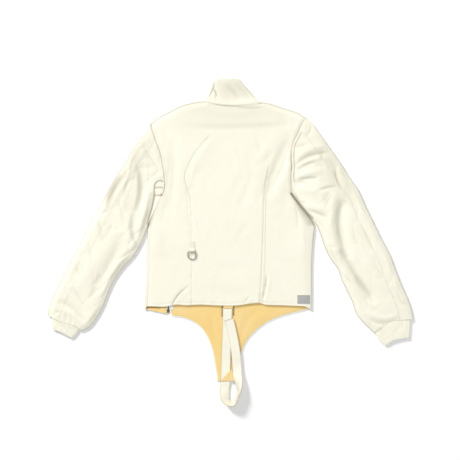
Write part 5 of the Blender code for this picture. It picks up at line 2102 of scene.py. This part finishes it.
@dataclass
class Zip:
    """The closed front zip: two tapes, two rows of teeth and the box at its lower end."""

    chain_width: float = 4.2
    tape_width: float = 12.0
    tape_wall: float = 0.7
    start_y: float = -187.0
    reach: float = 0.94
    pitch: float = 2.6
    tooth: Row = (2.4, 1.1, 2.2)
    tooth_height: float = 2.0
    tooth_aside: float = 0.8

    def line(self) -> Line:
        """The zip's middle, from its lower end."""
        whole = Line(ZIP_LINE)
        return Line((np.array((ZIP_LINE[0][0], self.start_y)), *whole.at(np.linspace(0.1, 1.0, 7))))

    def strip(self, name: str, near: float, far: float, low: float, high: float) -> bpy.types.Object:
        """A strip along the zip.

        Args:
            name: The piece's name.
            near: The distance of one edge from the zip's line, positive to the right.
            far: The distance of the other edge.
            low: The height of its lower face.
            high: The height of its upper face.

        Returns:
            The object.
        """
        line = self.line()
        share = np.linspace(0, self.reach, 180)
        columns = [line.side(share, -(near + (far - near) * i / 8)) for i in range(9)]
        spots = np.stack(columns, axis=1)
        outer, inner = (with_height(spots, np.full(spots.shape[:2], height)) for height in (high, low))
        return shell(name, outer, inner, along_grid(outer))

    def make(self) -> None:
        """Makes the tapes, the teeth and the box."""
        half = self.chain_width / 2
        low = WALL + SEAM_GAP
        parts = (("zip_tape_main", half + SEAM_GAP, half + self.tape_width),
                 ("zip_tape_side", -half - self.tape_width, -half - SEAM_GAP))
        for name, near, far in parts:
            piece = self.strip(f"white_{name}", near, far, low, low + self.tape_wall)
            lay(piece, TAPE, [name])
        self.make_teeth()
        self.make_box()

    def make_teeth(self) -> None:
        """Two rows of teeth that mesh, copied from one."""
        deselect()
        bpy.ops.mesh.primitive_cube_add(size=1.0)
        model = bpy.context.object
        model.scale = self.tooth
        settle(model)
        bpy.ops.object.mode_set(mode="EDIT")
        bpy.ops.mesh.select_all(action="SELECT")
        bpy.ops.mesh.bevel(offset=0.3, segments=1)
        bpy.ops.object.mode_set(mode="OBJECT")
        tooth = np.array([vert.co[:] for vert in model.data.vertices])
        faces = [tuple(face.vertices) for face in model.data.polygons]
        bpy.data.objects.remove(model, do_unlink=True)
        line = self.line()
        count = int(line.length * self.reach / self.pitch)
        share = (np.arange(2 * count) + 0.5) / (2 * count) * self.reach
        spots = line.at(share)
        along = line.at(np.minimum(share + 0.002, 1)) - line.at(np.maximum(share - 0.002, 0))
        along /= np.linalg.norm(along, axis=1, keepdims=True)
        points, made = [], []
        for i, (spot, way) in enumerate(zip(spots, along)):
            aside = np.array((-way[1], way[0]))
            centre = spot + aside * (self.tooth_aside if i % 2 else -self.tooth_aside)
            turned = tooth[:, :1] * aside + tooth[:, 1:2] * way
            points.append(np.concatenate([centre + turned, tooth[:, 2:] + self.tooth_height], axis=1))
            made += [tuple(len(tooth) * i + corner for corner in face) for face in faces]
        mesh = bpy.data.meshes.new("zip_teeth")
        mesh.from_pydata((np.concatenate(points) * MM).tolist(), [], made)
        enter(linked("zip_teeth", mesh), ZIP_METAL, ["zip_chain"])

    def make_box(self) -> None:
        """The box that holds the zip's lower end, with its slot."""
        low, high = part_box("zip_box")
        deselect()
        bpy.ops.mesh.primitive_cube_add(size=1.0)
        box = bpy.context.object
        box.name = "zip_end_box"
        box.scale = [high[i] - low[i] for i in range(3)]
        box.location = [(high[i] + low[i]) / 2 for i in range(3)]
        settle(box)
        bpy.ops.object.mode_set(mode="EDIT")
        bpy.ops.mesh.select_all(action="SELECT")
        bpy.ops.mesh.bevel(offset=0.0006, segments=3)
        bpy.ops.mesh.select_all(action="DESELECT")
        bpy.ops.object.mode_set(mode="OBJECT")
        for face in box.data.polygons:
            face.select = face.normal.z > 0.99 or face.normal.z < -0.99
        bpy.ops.object.mode_set(mode="EDIT")
        bpy.ops.mesh.inset(thickness=0.0012, depth=-0.0004)
        bpy.ops.object.mode_set(mode="OBJECT")
        bpy.ops.object.shade_smooth_by_angle(angle=math.radians(30))
        enter(box, ZIP_METAL, ["zip_box"])


@dataclass
class SideLabel:
    """The plain woven label near the right end of the hem."""

    box: Row = (187.0, 222.0, -171.0, -147.0)
    rise: float = 0.75
    wall: float = 0.6

    def make(self, body: Body) -> None:
        """Makes the label on the back's face.

        Args:
            body: Gives the height of the back.
        """
        x0, x1, y0, y1 = self.box
        v, u = share_grid(26, 36)
        spots = np.stack([x0 + u * (x1 - x0), y0 + v * (y1 - y0)], axis=-1)
        z = body.top(spots) + self.rise
        outer = with_height(spots, z)
        piece = shell("plain_label", outer, outer - np.array((0.0, 0.0, self.wall)), spots)
        lay(piece, LABEL, ["side_label"])


@dataclass
class Studio:
    """A pale floor, soft light and the camera straight above."""

    millimetres_a_pixel: float = 2.8
    frame_pixels: int = 460
    middle: tuple[float, float] = (-0.0014, 0.035)
    camera_height: float = 5.0
    sky_strength: float = 0.34
    floor_size: float = 60.0
    floor_drop: float = 0.0004

    def floor(self) -> None:
        """The pale surface."""
        deselect()
        bpy.ops.mesh.primitive_plane_add(size=self.floor_size, location=(0.0, 0.0, -self.floor_drop))
        floor = bpy.context.object
        floor.name = "floor"
        graph = Graph("pale_floor")
        graph.fill(graph.shader, Base_Color=(0.95, 0.95, 0.95), Roughness=0.9)
        floor.data.materials.append(graph.made)

    def light(self, name: str, place: Row, size: float, power: float) -> None:
        """A square soft light turned to the jacket.

        Args:
            name: Its name.
            place: Where it stands, in metres.
            size: The length of its side.
            power: Its power, in watts.
        """
        deselect()
        bpy.ops.object.light_add(type="AREA", location=place)
        lamp = bpy.context.object
        lamp.name = name
        lamp.data.size = size
        lamp.data.energy = power
        aim = np.array((0.0, 0.05, 0.0)) - np.array(place)
        lamp.rotation_mode = "QUATERNION"
        lamp.rotation_quaternion = Vector(aim).to_track_quat("-Z", "Y")

    def make(self) -> None:
        """Sets the scene."""
        self.floor()
        self.light("key", (-4.4, 4.9, 3.6), 1.7, 570.0)
        self.light("top", (0.7, -0.2, 4.0), 3.0, 58.0)
        self.light("fill", (2.4, -1.6, 1.8), 1.8, 10.0)
        world = bpy.data.worlds.new("studio")
        bpy.context.scene.world = world
        world.use_nodes = True
        sky = world.node_tree.nodes["Background"]
        sky.inputs["Color"].default_value = (1.0, 1.0, 1.0, 1.0)
        sky.inputs["Strength"].default_value = self.sky_strength
        bpy.context.scene.view_settings.view_transform = "Standard"
        width = self.millimetres_a_pixel * self.frame_pixels * MM
        deselect()
        bpy.ops.object.camera_add(location=(*self.middle, self.camera_height), rotation=(0.0, 0.0, 0.0))
        camera = bpy.context.object
        camera.data.sensor_width = 36.0
        camera.data.lens = camera.data.sensor_width * self.camera_height / width
        bpy.context.scene.camera = camera


def main() -> None:
    """Builds the jacket and its setting."""
    logging.basicConfig(level=logging.INFO, format="%(message)s")
    stitcher = Stitcher()
    body = Body()
    body.make_back()
    body.make_fronts()
    body.make_lining()
    body.make_side_lining()
    body.sew(stitcher)
    Sleeve(
        "left", LEFT_SLEEVE, LEFT_SLEEVE_END, body.left_armhole, LEFT_SLEEVE_FOLDS,
        LEFT_SLEEVE_PAINTED_SHADE, Cut(0.15, 0.62, 0.065), Cut(0.19, 0.62, 0.092), seams=LEFT_UNDERARM, turn=62.0,
        crumpled=1.35,
    ).make(stitcher)
    Sleeve(
        "right", RIGHT_SLEEVE, RIGHT_SLEEVE_END, body.right_armhole, RIGHT_SLEEVE_FOLDS,
        RIGHT_SLEEVE_PAINTED_SHADE, Cut(0.16, 0.66, 0.074), Cut(0.20, 0.66, 0.102), seams=RIGHT_UNDERARM,
        turn=-60.0, second_seam=0.75,
    ).make(stitcher)
    Cuff(
        "left", LEFT_CUFF, LEFT_CUFF_SEAM, LEFT_CUFF_END, LEFT_CUFF_FOLDS, Cut(0.17, 0.035, 0.0048)
    ).make()
    Cuff(
        "right", RIGHT_CUFF, RIGHT_CUFF_SEAM, RIGHT_CUFF_END, RIGHT_CUFF_FOLDS, Cut(0.21, 0.055, 0.01)
    ).make()
    Collar(body.neck).make(stitcher)
    strap = Strap()
    strap.make(stitcher)
    strap.make_flaps(stitcher)
    ring = Ring()
    ring.make_ring()
    ring.make_tab(stitcher)
    Zip().make()
    SideLabel().make(body)
    enter(stitcher.sew("stitching"), THREAD)
    Studio().make()


if __name__ == "__main__":
    main()
